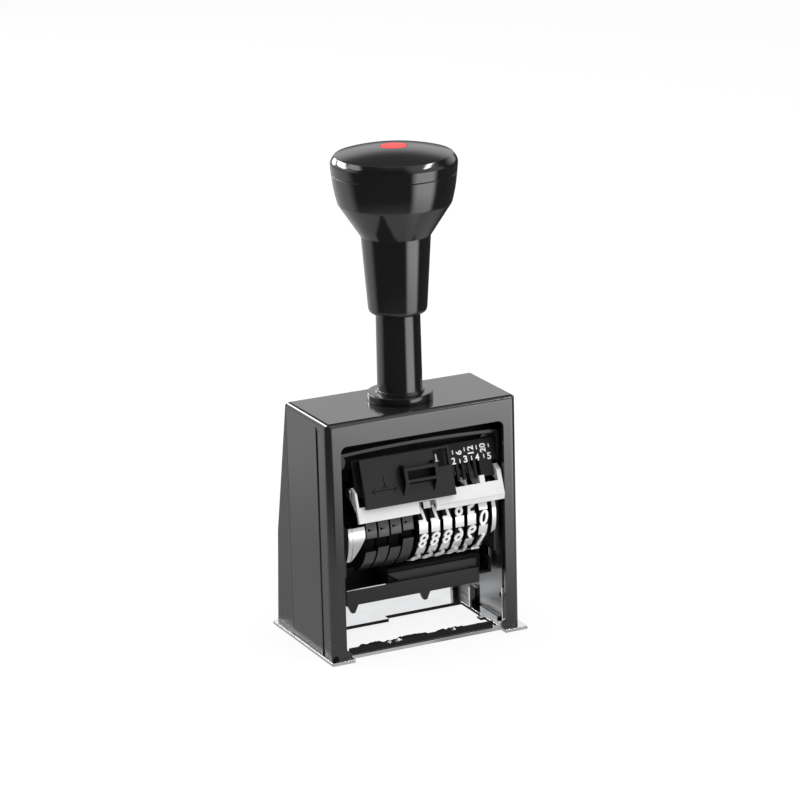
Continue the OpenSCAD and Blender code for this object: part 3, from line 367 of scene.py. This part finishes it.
def turned(outline, closed=True, turns=144):
    """A shape turned about the handle's axis."""
    shape = bmesh.new()
    points = [shape.verts.new(point * mm) for point in rounded(outline)]
    pairs = list(zip(points, points[1:])) + ([(points[-1], points[0])] if closed else [])
    edges = [shape.edges.new(pair) for pair in pairs]
    bmesh.ops.spin(shape, geom=points + edges, cent=(0, 0, 0), axis=(0, 0, 1),
                   angle=math.tau, steps=turns, use_merge=True)
    bmesh.ops.remove_doubles(shape, verts=shape.verts, dist=weld)
    bmesh.ops.recalc_face_normals(shape, faces=shape.faces)
    bmesh.ops.translate(shape, verts=shape.verts, vec=(handle_axis.x, handle_axis.y, 0))
    return shape


handle_black = moulded_plastic("handle_black", (0.005, 0.005, 0.0055, 1), 0.1, 0.05, shine=0.9)
tube = settle("neck_tube", turned([
    (tube_bore, tube_foot_z, 0), (shank_r, tube_foot_z, 0.3), (shank_r, casing_top, 0),
    (collar_r, casing_top, 0.25), (collar_r, casing_top + collar_h, 0.5),
    (ring_r, casing_top + collar_h, 0.15), (ring_r, casing_top + collar_h + ring_h, 0.25),
    (tube_r + 0.15, casing_top + collar_h + ring_h + 0.05, 0.1), (tube_r, tube_head_z, 0.5),
    (tube_bore, tube_head_z, 0.3),
]), "guide_tube", handle_black)
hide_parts("guide_tube")

# ---- Hardware of the neck ----
# Plated nuts, washers and screws, the brass bush of the plunger and its steel spring.
# They keep the shapes of their solids, and get the finish of turned or drawn metal.


def refinish(skin, *nodes):
    """Gives solids that keep their own shape a proper finish."""
    for node in nodes:
        solid = frame["nodes"][node]
        solid.data.materials.clear()
        solid.data.materials.append(skin)


zinc_steel = plated_steel("zinc_steel", (0.55, 0.56, 0.58, 1), 0.28, (1, 1, 0.2), 0.2)
spring_steel = plated_steel("spring_steel", (0.42, 0.43, 0.46, 1), 0.22, (0.3, 1, 1), 0.1)
bush_brass = plated_steel("bush_brass", (0.72, 0.5, 0.2, 1), 0.25, (1, 1, 0.1), 0.1)
refinish(zinc_steel, "tube_nut", "rod_nut", "spring_washer", "base_screws", "cover_screws",
         "yoke_screws", "panel_bolts", "axle_clips", "pad_rivets")
refinish(bush_brass, "rod_bush")

# the return spring between the tube's head and the washer, which shortens as the handle goes down:
# here it rides with its solid, on a mesh of its own
coil = settle("coil_spring", solid_copy("return_spring"), "return_spring", spring_steel)
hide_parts("return_spring")
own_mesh(coil)

# ---- Handle ----
# What the hand pushes down: a tapered sleeve, a flared knob and a domed cap pressed into
# the knob, all in polished black plastic, with a small red disc set in the cap.

knob_foot_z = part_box("knob_body")[0].z / mm
seam_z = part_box("knob_body")[1].z / mm
apex_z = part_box("knob_cap")[1].z / mm
knob_r = (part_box("knob_cap")[1].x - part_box("knob_cap")[0].x) / 2 / mm
sleeve_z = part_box("grip_sleeve")[0].z / mm
sleeve_bore = 6.85
sleeve_foot_r = 8.35
sleeve_head_r = 9.95
washer_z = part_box("spring_washer")[1].z / mm
rod_r = 3.0
disc_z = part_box("cap_disc")[0].z / mm
disc_r = (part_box("cap_disc")[1].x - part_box("cap_disc")[0].x) / 2 / mm
groove_r = knob_r - 0.38
plug_r = knob_r - 5
plug_z = seam_z - 2
rim_z = seam_z + 2.4

sleeve = settle("hand_sleeve", turned([
    (sleeve_bore, sleeve_z, 0.3), (sleeve_foot_r, sleeve_z, 1.7),
    (sleeve_head_r, knob_foot_z, 0), (sleeve_bore, knob_foot_z, 0),
]), "grip_sleeve", handle_black)
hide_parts("grip_sleeve")

knob = settle("flared_knob", turned([
    (sleeve_bore, knob_foot_z, 0), (10.1, knob_foot_z, 0.15),
    (knob_r - 1.8, rim_z - 11.1, 0.35), (knob_r - 0.9, rim_z - 7.7, 2.6),
    (knob_r - 0.22, seam_z - 0.12, 0.08), (groove_r, seam_z, 0.08),
    (plug_r, seam_z, 0), (plug_r, plug_z, 0),
    (rod_r, plug_z, 0), (rod_r, washer_z, 0), (sleeve_bore, washer_z, 0),
]), "knob_body", handle_black)
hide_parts("knob_body")

shoulder_h = 2.7
dome_edge = knob_r - 1.2
dome_h = apex_z - rim_z - shoulder_h
dome_r = (dome_edge ** 2 + dome_h ** 2) / (2 * dome_h)
dome = []
dome_steps = 14
for step in range(1, dome_steps + 1):
    reach = dome_edge - (dome_edge - disc_r) * step / dome_steps
    dome.append((reach, apex_z - dome_r + math.sqrt(dome_r ** 2 - reach ** 2), 0))
shape = turned([
    (0, plug_z, 0), (plug_r - 0.02, plug_z, 0.3), (plug_r - 0.02, seam_z + 0.05, 0),
    (groove_r, seam_z + 0.05, 0.08), (knob_r - 0.2, seam_z + 0.17, 0.08), (knob_r, rim_z, 0.6),
    (knob_r, rim_z + 1, 0.8), (dome_edge, rim_z + shoulder_h, 0.12), *dome,
    (disc_r, disc_z, 0), (0, disc_z, 0),
], closed=False)
for face in shape.faces:
    middle = face.calc_center_median()
    if math.hypot(middle.x - handle_axis.x, middle.y - handle_axis.y) > (dome_edge - 0.1) * mm:
        face.material_index = 1
cap_black = moulded_plastic("cap_black", (0.012, 0.012, 0.0125, 1), 0.2, 0.05)
cap = settle("domed_cap", shape, "knob_cap", cap_black, handle_black)
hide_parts("knob_cap")

red_plastic = moulded_plastic("red_plastic", (0.59, 0.056, 0.054, 1), 0.45, 0.05, 1.06, 0.25)
disc = settle("red_disc", turned([
    (0, disc_z + 0.01, 0), (disc_r - 0.12, disc_z + 0.01, 0),
    (disc_r - 0.12, apex_z - 0.05, 0.2), (0, apex_z + 0.05, 0),
], closed=False), "cap_disc", red_plastic)
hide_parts("cap_disc")

rod_steel = plated_steel("rod_steel", (0.75, 0.76, 0.77, 1), 0.12, (1, 1, 0.05), 0.05)
refinish(rod_steel, "plunger_rod")

# ---- Carriage ----
# What slides in the casing: a bent yoke with two black side plates that hold the axle,
# two bright plates beside the wheels, and the hood that frames the panel in front.

blued_black = (0.009, 0.009, 0.0095, 1)
black_steel = blackened_steel("black_steel", blued_black, 0.38)
softened("carriage_yoke", "yoke_bending", 0.1 * mm, black_steel)
softened("carriage_plate_left", "left_carriage_plate", 0.12 * mm, black_steel)
softened("carriage_plate_right", "right_carriage_plate", 0.25 * mm, black_steel, 3)
hood_black = moulded_plastic("hood_black", (0.009, 0.009, 0.0095, 1), 0.25)
softened("mechanism_cover", "panel_hood", 0.14 * mm, hood_black)
end_steel = plated_steel("end_steel", chrome_bright, 0.16, (1, 1, 0.1), 0.15)
softened("end_plate_left", "left_end_plate", 0.12 * mm, end_steel)
softened("end_plate_right", "right_end_plate", 0.12 * mm, end_steel)
refinish(rod_steel, "wheel_axle")
refinish(black_steel, "axle_spacers")
refinish(spring_steel, "detent_comb")

# ---- Wheels ----
# Six number wheels of hardened steel: ten facets carry the figures, raised and mirrored
# for printing, with ink left in the ground round them, and the faces between are bare.
# Four blank wheels stand to the left, blackened, with notches and a hole in each land;
# their notches and sides are painted near black as shade.

axle = (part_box("wheel_axle")[0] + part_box("wheel_axle")[1]) / 2
figures = "0123456789"
figure_h = 4.7 * mm
figure_w = 2.6 * mm
figure_slant = 0.16
figure_depth = 0.42 * mm
face_r = 12.98 * mm
ground_r = 12.3 * mm
ground_half_angle = math.radians(6)
rim_w = 2.85 * mm
figure_inset = 1.4 * mm
first_figures = (0, 0, 0, 1, 8, 2)
half_step_wheel = 5
facet_angle = math.tau / len(figures)


def figure(text, height, width, depth, weight=0.0):
    """A figure as a closed mesh, its face on z = 0 and its middle at the origin."""
    curve = bpy.data.curves.new("figure", "FONT")
    curve.body = text
    curve.extrude = 0.5
    curve.offset = weight
    curve.resolution_u = 3
    maker = bpy.data.objects.new("figure", curve)
    bpy.context.scene.collection.objects.link(maker)
    bpy.context.view_layer.update()
    made = maker.evaluated_get(bpy.context.evaluated_depsgraph_get())
    mesh = bpy.data.meshes.new_from_object(made)
    bpy.data.objects.remove(maker)
    low = [min(corner.co[k] for corner in mesh.vertices) for k in range(3)]
    high = [max(corner.co[k] for corner in mesh.vertices) for k in range(3)]
    tall = height / (high[1] - low[1])
    wide = min(width / (high[0] - low[0]), tall * 1.1)
    middle = Vector(((low[0] + high[0]) / 2, (low[1] + high[1]) / 2, high[2]))
    mesh.transform(Matrix.Diagonal((wide, tall, depth, 1)) @ Matrix.Translation(-middle))
    closed = bmesh.new()
    closed.from_mesh(mesh)
    bmesh.ops.remove_doubles(closed, verts=closed.verts, dist=weld)
    closed.to_mesh(mesh)
    closed.free()
    return mesh


type_steel = plated_steel("type_steel", (0.9, 0.9, 0.91, 1), 0.22, (0.2, 1, 1), 0.3, 0.6)
figure_steel = plated_steel("figure_steel", (0.95, 0.95, 0.95, 1), 0.4, (1, 1, 1), 0.2, 0.2)
inked_ground = blackened_steel("inked_ground", (0.004, 0.004, 0.005, 1), 0.6, 0.2)
lean = Matrix(((1, -figure_slant, 0, 0), (0, 1, 0, 0), (0, 0, 1, 0), (0, 0, 0, 1)))
stand = Matrix.Diagonal((1, 1, -1, 1))
for wheel in range(6):
    node = f"number_wheel_{wheel + 1}"
    shape = solid_copy(node)
    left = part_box(node)[0].x
    phase = facet_angle / 2 if wheel == half_step_wheel else 0
    for face in shape.faces:
        out = face.calc_center_median() - axle
        reach = math.hypot(out.y, out.z)
        angle = math.atan2(out.z, out.y) + math.pi / 2 - phase
        off = abs((angle + facet_angle / 2) % facet_angle - facet_angle / 2)
        ground = abs(face.normal.x) < 0.1 and reach > ground_r and off < ground_half_angle
        beside_rim = abs(face.normal.x) > 0.9 or face.calc_center_median().x > left + rim_w
        if ground or beside_rim:
            face.material_index = 1
    sharp = [edge for edge in shape.edges if edge.calc_face_angle(0) > edge_angle]
    bmesh.ops.bevel(shape, geom=sharp, offset=0.05 * mm, segments=1, profile=0.5,
                    affect="EDGES", material=-1)
    for place in range(len(figures)):
        value = (first_figures[wheel] - place) % len(figures)
        mark = figure(figures[value], figure_h, figure_w, figure_depth, 0.02)
        turn = place * facet_angle + phase
        # the figure's face points down at turn 0, its head to the rear
        mark.transform(Matrix.Translation((left + figure_inset, axle.y, axle.z))
                       @ Matrix.Rotation(-turn, 4, "X")
                       @ Matrix.Translation((0, 0, -face_r)) @ stand @ lean)
        mark.flip_normals()
        for flat in mark.polygons:
            flat.material_index = 2
        shape.from_mesh(mark)
        bpy.data.meshes.remove(mark)
    piece = settle(f"figure_wheel_{wheel + 1}", shape, node, type_steel, inked_ground, figure_steel)
    even_flats(piece, True)
    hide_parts(node)

blank_black = blackened_steel("blank_black", (0.014, 0.014, 0.015, 1), 0.3, 1.0)
notch_shade_black = blackened_steel("notch_shade_black", (0.002, 0.002, 0.002, 1), 0.7, 0.1)
land_r = 12.6 * mm
for wheel in range(4):
    node = f"blank_wheel_{wheel + 1}"
    shape = solid_copy(node)
    # the notches and the wheel's sides get a near-black finish: painted shade
    for face in shape.faces:
        out = face.calc_center_median() - axle
        if math.hypot(out.y, out.z) < land_r or abs(face.normal.x) > 0.9:
            face.material_index = 1
    piece = settle(f"plain_wheel_{wheel + 1}", shape, node, blank_black, notch_shade_black)
    piece.data.set_sharp_from_angle(angle=math.pi)
    break_edges(piece, 0.12 * mm)
    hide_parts(node)

# ---- Front panel ----
# A sloping black plate behind the repeat slider. Its comb slots and its numerals show
# how often a number repeats: white figures with fine strokes between them.

panel_black = blackened_steel("panel_black", (0.007, 0.007, 0.0075, 1), 0.4, 0.25)
softened("front_plate", "scale_plate", 0.1 * mm, panel_black)

panel_tilt = math.radians(19)
bail_low_edge = Vector((0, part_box("housing_shell")[0].y - 1.5 * mm, axle.z + 5.6 * mm))
plate_face = 1.3 * mm
numeral_h = 2.0 * mm
numeral_w = 1.25 * mm
paint_t = 0.05 * mm
# numerals: across, up and text
low_row = ((6.2, 14.95, "1"), (11.5, 13.1, "2"), (15.3, 13.1, "3"), (19.1, 13.1, "4"),
           (22.9, 12.9, "5"))
high_row = ((13.5, 15.2, "6"), (17.3, 15.5, "12"), (21.2, 15.5, "20"))
# strokes: across, up, breadth and height
strokes = [(x + shift, up + drop, 0.28, 1.2)
           for x, up, text in high_row for shift, drop in ((-1.9, 0.4), (0, -2.4))]
strokes += [(23.2, 15.9, 0.28, 1.0), (6.2, 13.9, 1.1, 0.28)]


def panel_place(x, up, out):
    """A place on the sloping panel, in millimetres: across, up its slope, out of the plate's face."""
    slope = Matrix.Translation(bail_low_edge) @ Matrix.Rotation(-panel_tilt, 4, "X")
    return slope @ Matrix.Translation((x * mm, plate_face - out * mm, up * mm))


def add_block(shape, place, size):
    """Adds a block to a shape. Its place is a matrix, its size is in millimetres."""
    corners = bmesh.ops.create_cube(shape, size=1)["verts"]
    bmesh.ops.transform(shape, verts=corners,
                        matrix=place @ Matrix.Diagonal((*(side * mm for side in size), 1)))


def round_blocks(shape, width, steps=2):
    """Rounds every edge of a shape made of blocks."""
    bmesh.ops.bevel(shape, geom=shape.edges[:], offset=width, segments=steps, profile=0.5,
                    affect="EDGES", material=-1)


def paint_row(shape, row, height, width, weight, turn):
    """Paints a row of numerals on the panel, all turned the same way."""
    for x, up, text in row:
        mark = figure(text, height, width * len(text), paint_t * 2, weight)
        mark.transform(panel_place(x, up, paint_t / mm) @ upright @ turn)
        shape.from_mesh(mark)
        bpy.data.meshes.remove(mark)


upright = Matrix.Rotation(math.pi / 2, 4, "X")
white_paint = moulded_plastic("white_paint", (0.83, 0.83, 0.82, 1), 0.45, 0.2, 0.97)
shape = bmesh.new()
paint_row(shape, low_row, numeral_h, numeral_w, 0.025, Matrix.Identity(4))
paint_row(shape, high_row, numeral_h * 0.95, numeral_w * 1.05, 0.03,
          Matrix.Rotation(math.pi / 2, 4, "Z"))
for x, up, breadth, height in strokes:
    add_block(shape, panel_place(x, up, 0), (breadth, 2 * paint_t / mm, height))
settle("scale_figures", shape, "front_plate", white_paint)

# ---- Repeat slider ----
# A black plate that slides along the panel's rail, with a hollow finger grip moulded on.
# An arrow is marked dark in its face, and fine ribs stand above the grip. The sides of the
# fins and the hollow of the grip, its floor too, are painted near black as shade.

slider_black = blackened_steel("slider_black", (0.007, 0.007, 0.0075, 1), 0.34, 0.45)
# the arrow's dark finish, which also serves as painted shade on the grip's floor
arrow_and_shade_black = blackened_steel("arrow_and_shade_black", (0.003, 0.003, 0.003, 1), 0.5, 0.15)
# painted shade for the hollow of the grip and the sides of its fins
hollow_shade_black = blackened_steel("hollow_shade_black", (0.003, 0.003, 0.003, 1), 0.6, 0.15)
slider_out = 3.0
face_place = panel_place(0, 0, 0)
outward = -face_place.col[1].to_3d()
shape = solid_copy("repeat_slider")
# the grip's faces that stand out from the plate and don't face forward, the fins' sides and the
# hollow, get a near-black finish: painted shade
for face in shape.faces:
    stands_out = (face.calc_center_median() - face_place.translation).dot(outward)
    if stands_out > (slider_out + 0.2) * mm and face.normal.dot(outward) < 0.6:
        face.material_index = 1
slider = settle("slider_moulding", shape, "repeat_slider", slider_black, hollow_shade_black)
slider.data.set_sharp_from_angle(angle=math.pi)
break_edges(slider, 0.14 * mm)
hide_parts("repeat_slider")

# strokes of the arrow: across, up, length and turn in degrees
arrow_strokes = ((-12.8, 8.3, 8.0, 0), (-16.1, 8.75, 1.7, -42), (-16.1, 7.85, 1.7, 42),
                 (-9.4, 8.75, 1.7, 42), (-9.4, 7.85, 1.7, -42), (-12.4, 10.4, 3.6, 90),
                 (-12.9, 9.3, 1.5, -52), (-11.9, 9.3, 1.5, 52))
mark_t = 0.06
shape = bmesh.new()
for x, up, length, turn in arrow_strokes:
    stroke_place = panel_place(x, up, slider_out) @ Matrix.Rotation(math.radians(turn), 4, "Y")
    add_block(shape, stroke_place, (length, mark_t, 0.24))
grip_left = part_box("repeat_slider")[0].x / mm + 12
# a dark patch on the grip's floor between the fins: painted shade
add_block(shape, panel_place(grip_left + 5.4, 11.7, slider_out), (8.5, mark_t, 3.9))
round_blocks(shape, 0.02 * mm, 1)
settle("slider_arrow_and_shade", shape, "repeat_slider", arrow_and_shade_black)

rib_out = 5.35
rib_count = 13
rib_step = 0.74
shape = bmesh.new()
for rib in range(rib_count):
    rib_place = panel_place(grip_left + 0.95 + rib * rib_step, 13.5, rib_out)
    add_block(shape, rib_place, (0.36, 0.8, 0.4))
round_blocks(shape, 0.09 * mm)
settle("grip_ribs", shape, "repeat_slider", slider_black)

# ---- Advance bail ----
# A bright bent bar across the wheels, hung from two arms on short pivots. Its notch in
# the middle takes the pawl that turns the first wheel.

bail_steel = plated_steel("bail_steel", (0.8, 0.8, 0.8, 1), 0.34, (1, 1, 1), 0.5, 0.35)
softened("advance_bail", "bail_bending", 0.12 * mm, bail_steel)
softened("drive_pawl", "pawl_blade", 0.1 * mm, end_steel)
refinish(zinc_steel, "bail_pivots")

# ---- Ink pad ----
# A black cassette with an inked felt, held by a tray between two steel arms that hang
# from the axle. The arms swing it back out of the way as the handle goes down.

cassette_black = moulded_plastic("cassette_black", (0.009, 0.009, 0.0095, 1), 0.34)
softened("pad_cassette", "ink_cassette", 0.12 * mm, cassette_black)
softened("pad_tray", "cassette_tray", 0.08 * mm, black_steel)
softened("pad_arm_left", "left_pad_arm", 0.08 * mm, end_steel)
softened("pad_arm_right", "right_pad_arm", 0.08 * mm, end_steel)


def inked_felt(name):
    """Felt soaked with ink: matted fibres, dark and a little wet."""
    skin, start = open_finish(name)
    place = start.node("TexCoord", out="Object")
    drawn = start.node("Mapping", sockets={"Vector": place, "Scale": (1, 3, 2)})
    fibre = start.noise(drawn, 1500.0, 6.0, 0.7)
    damp = start.noise(place, 140.0, 3.0)
    close_finish(start, {
        "Base Color": start.between(fibre, (0.002, 0.002, 0.003, 1), (0.012, 0.012, 0.016, 1)),
        "Roughness": 0.9 - damp * 0.25,
        "Normal": start.relief(fibre, 0.9, 0.15 * mm),
        "Specular IOR Level": 0.25,
    })
    return skin


felt_low, felt_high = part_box("ink_pad")
shape = bmesh.new()
add_block(shape, Matrix.Translation((felt_low + felt_high) / 2), (felt_high - felt_low) / mm)
round_blocks(shape, 0.5 * mm, 3)
felt = settle("felt_pad", shape, "ink_pad", inked_felt("inked_felt"))
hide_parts("ink_pad")

# a bright steel strip along the top edge of the cassette's wall, as far as the felt: a painted
# highlight on that edge
strip_top = 18.45 * mm
shape = bmesh.new()
strip_place = Matrix.Translation((-15.8 * mm, casing_front + 7.25 * mm, strip_top - 0.2 * mm))
add_block(shape, strip_place, (12.4, 0.4, 0.4))
round_blocks(shape, 0.1 * mm)
settle("cassette_edge_highlight", shape, "pad_cassette", end_steel)

# ---- Stage ----
# A white table and surround as the camera sees them. What shines in the object is a
# studio: a dark room in front, bright screens behind, to the right and overhead, and a
# table that is bright round the object, to the left at the back and far to the right.

lit_level = 0.7
table_grey = 0.8
table_drop = 0.05 * mm
room_dark = 0.03
screen_right = (0.643, -0.766)
screen_left = (-0.682, 0.731)
glare_right = (0.53, -0.848)
glare_left = (-0.43, 0.903)


def rising(start, value, low, high):
    """0 below low and 1 above high, with a soft step between. The two may be swapped."""
    return start.node("MapRange", {"interpolation_type": "SMOOTHSTEP"},
                      {"Value": value, "From Min": low, "From Max": high})


def facing(start, across, along, direction):
    """How far a level direction points the same way as another, from -1 to 1."""
    length = start.maths("SQRT", across * across + along * along, 0)
    return start.maths("DIVIDE", across * direction[0] + along * direction[1], length + 0.0001)


world = bpy.data.worlds.new("surround")
bpy.context.scene.world = world
world.use_nodes = True
world.node_tree.nodes.clear()
sky = Shade(world.node_tree)
direct = sky.node("Clamp", sockets={"Value": sky.node("LightPath", out="Is Camera Ray")
                                    + sky.node("LightPath", out="Is Transmission Ray")})
mirrored = sky.node("LightPath", out="Is Glossy Ray")
toward = sky.node("TexCoord", out="Generated")
across, along, high = (sky.node("SeparateXYZ", sockets={"Vector": toward}, out=axis) for axis in "XYZ")
behind = rising(sky, along, -0.1, 0.5) * rising(sky, high, 0.0, 0.15) * rising(sky, high, 0.48, 0.36)
overhead = rising(sky, high, 0.8, 0.95)
to_right = facing(sky, across, along, screen_right)
to_left = facing(sky, across, along, screen_left)
beside = rising(sky, to_right, 0.72, 0.96) * rising(sky, high, -0.1, 0.05)
corner = rising(sky, to_left, 0.8, 0.97) * rising(sky, high, -0.1, 0.05)
round_about = overhead * 0.5 + (1 - overhead) * (beside * 0.65 + corner * 0.6)
studio = room_dark + behind * 0.95 + (1 - behind) * round_about
strength = direct + (1 - direct) * (mirrored * studio + (1 - mirrored) * lit_level)
glow = sky.node("Background", sockets={"Color": (1, 1, 1, 1), "Strength": strength})
sky.node("OutputWorld", sockets={"Surface": glow})

shape = bmesh.new()
bmesh.ops.create_grid(shape, x_segments=1, y_segments=1, size=4.0)
bmesh.ops.translate(shape, verts=shape.verts, vec=(0, 0, -table_drop))
table_mesh = bpy.data.meshes.new("white_table")
shape.to_mesh(table_mesh)
shape.free()
table = bpy.data.objects.new("white_table", table_mesh)
bpy.context.scene.collection.objects.link(table)
skin, start = open_finish("white_table")
spot = start.node("TexCoord", out="Object")
across, along = (start.node("SeparateXYZ", sockets={"Vector": spot}, out=axis) for axis in "XY")
distance = start.maths("SQRT", across * across + along * along, 0)
nearby = rising(start, distance, 0.23, 0.09)
right_glare = rising(start, facing(start, across, along, glare_right), 0.88, 0.98)
left_glare = rising(start, facing(start, across, along, glare_left), 0.6, 0.9)
right_level = start.maths("MINIMUM", distance * 9.0 + 0.1, 2.7)
shone = nearby * 0.5 + (1 - nearby) * (0.06 + left_glare * 0.7)
shone = right_glare * right_level + (1 - right_glare) * shone
camera_ray = start.node("LightPath", out="Is Camera Ray")
glossy_ray = start.node("LightPath", out="Is Glossy Ray")
matt = start.node("BsdfDiffuse", sockets={"Color": (table_grey, table_grey, table_grey, 1)})
shine = start.node("Emission", sockets={"Color": (1, 1, 1, 1),
                                        "Strength": camera_ray + glossy_ray * shone})
share = start.node("Clamp", sockets={"Value": camera_ray * 0.85 + glossy_ray})
mixed = start.node("MixShader", sockets={0: share, 1: matt, 2: shine})
start.node("OutputMaterial", sockets={"Surface": mixed})
table_mesh.materials.append(skin)


def soft_lamp(name, azimuth, elevation, distance, size, power, shown):
    """A flat lamp aimed at the object; shown says whether it is seen in what shines."""
    aim = Vector((0, 0, 0.07))
    turn, rise = math.radians(azimuth), math.radians(elevation)
    away = Vector((math.sin(turn) * math.cos(rise), -math.cos(turn) * math.cos(rise), math.sin(rise)))
    light = bpy.data.lights.new(name, "AREA")
    light.shape = "RECTANGLE"
    light.size, light.size_y = size
    light.energy = power
    lamp = bpy.data.objects.new(name, light)
    facing_in = away.to_track_quat("Z", "Y").to_matrix().to_4x4()
    lamp.matrix_world = Matrix.Translation(aim + away * distance) @ facing_in
    lamp.visible_glossy = shown
    bpy.context.scene.collection.objects.link(lamp)


soft_lamp("left_strip", -150, 27.5, 1.0, (0.7, 0.23), 4.6, True)
soft_lamp("left_low_strip", -171, 12.5, 1.0, (0.32, 0.17), 1.6, True)
soft_lamp("left_screen", -117, 41, 1.0, (0.44, 0.22), 0.6, True)
soft_lamp("right_screen", 60, 46, 1.0, (0.5, 0.08), 2.0, True)
soft_lamp("front_fill", 20, 35, 1.2, (1.0, 1.0), 5.0, False)
soft_lamp("top_fill", 0, 85, 1.0, (0.8, 0.8), 5.0, False)

# ---- Camera ----
# Placed by the vanishing lines of the casing in the photograph: far off with a long
# lens, from the left of the front and a little above.

view_azimuth = math.radians(-25.69)
view_elevation = math.radians(16.50)
view_roll = math.radians(-1.54)
view_distance = 1000.5 * mm
focal_pixels = 3482
image_pixels = 800
sensor_mm = 36
aim_pixels = Vector((-8.6209, 3.7209))
view_target = Vector((0, 2.2, 69.79)) * mm

back = Vector((math.sin(view_azimuth) * math.cos(view_elevation),
               -math.cos(view_azimuth) * math.cos(view_elevation), math.sin(view_elevation)))
level = Vector((math.cos(view_azimuth), math.sin(view_azimuth), 0))
above = back.cross(level)
right = level * math.cos(view_roll) + above * math.sin(view_roll)
up = above * math.cos(view_roll) - level * math.sin(view_roll)
lens = bpy.data.cameras.new("camera")
lens.sensor_width = sensor_mm
lens.lens = sensor_mm * focal_pixels / image_pixels
lens.clip_start, lens.clip_end = 0.01, 20
camera = bpy.data.objects.new("camera", lens)
pixel = view_distance / focal_pixels
place = view_target + back * view_distance - right * aim_pixels.x * pixel - up * aim_pixels.y * pixel
camera.matrix_world = Matrix.Translation(place) @ Matrix((right, up, back)).transposed().to_4x4()
bpy.context.scene.collection.objects.link(camera)
bpy.context.scene.camera = camera
bpy.context.scene.view_settings.view_transform = "Standard"
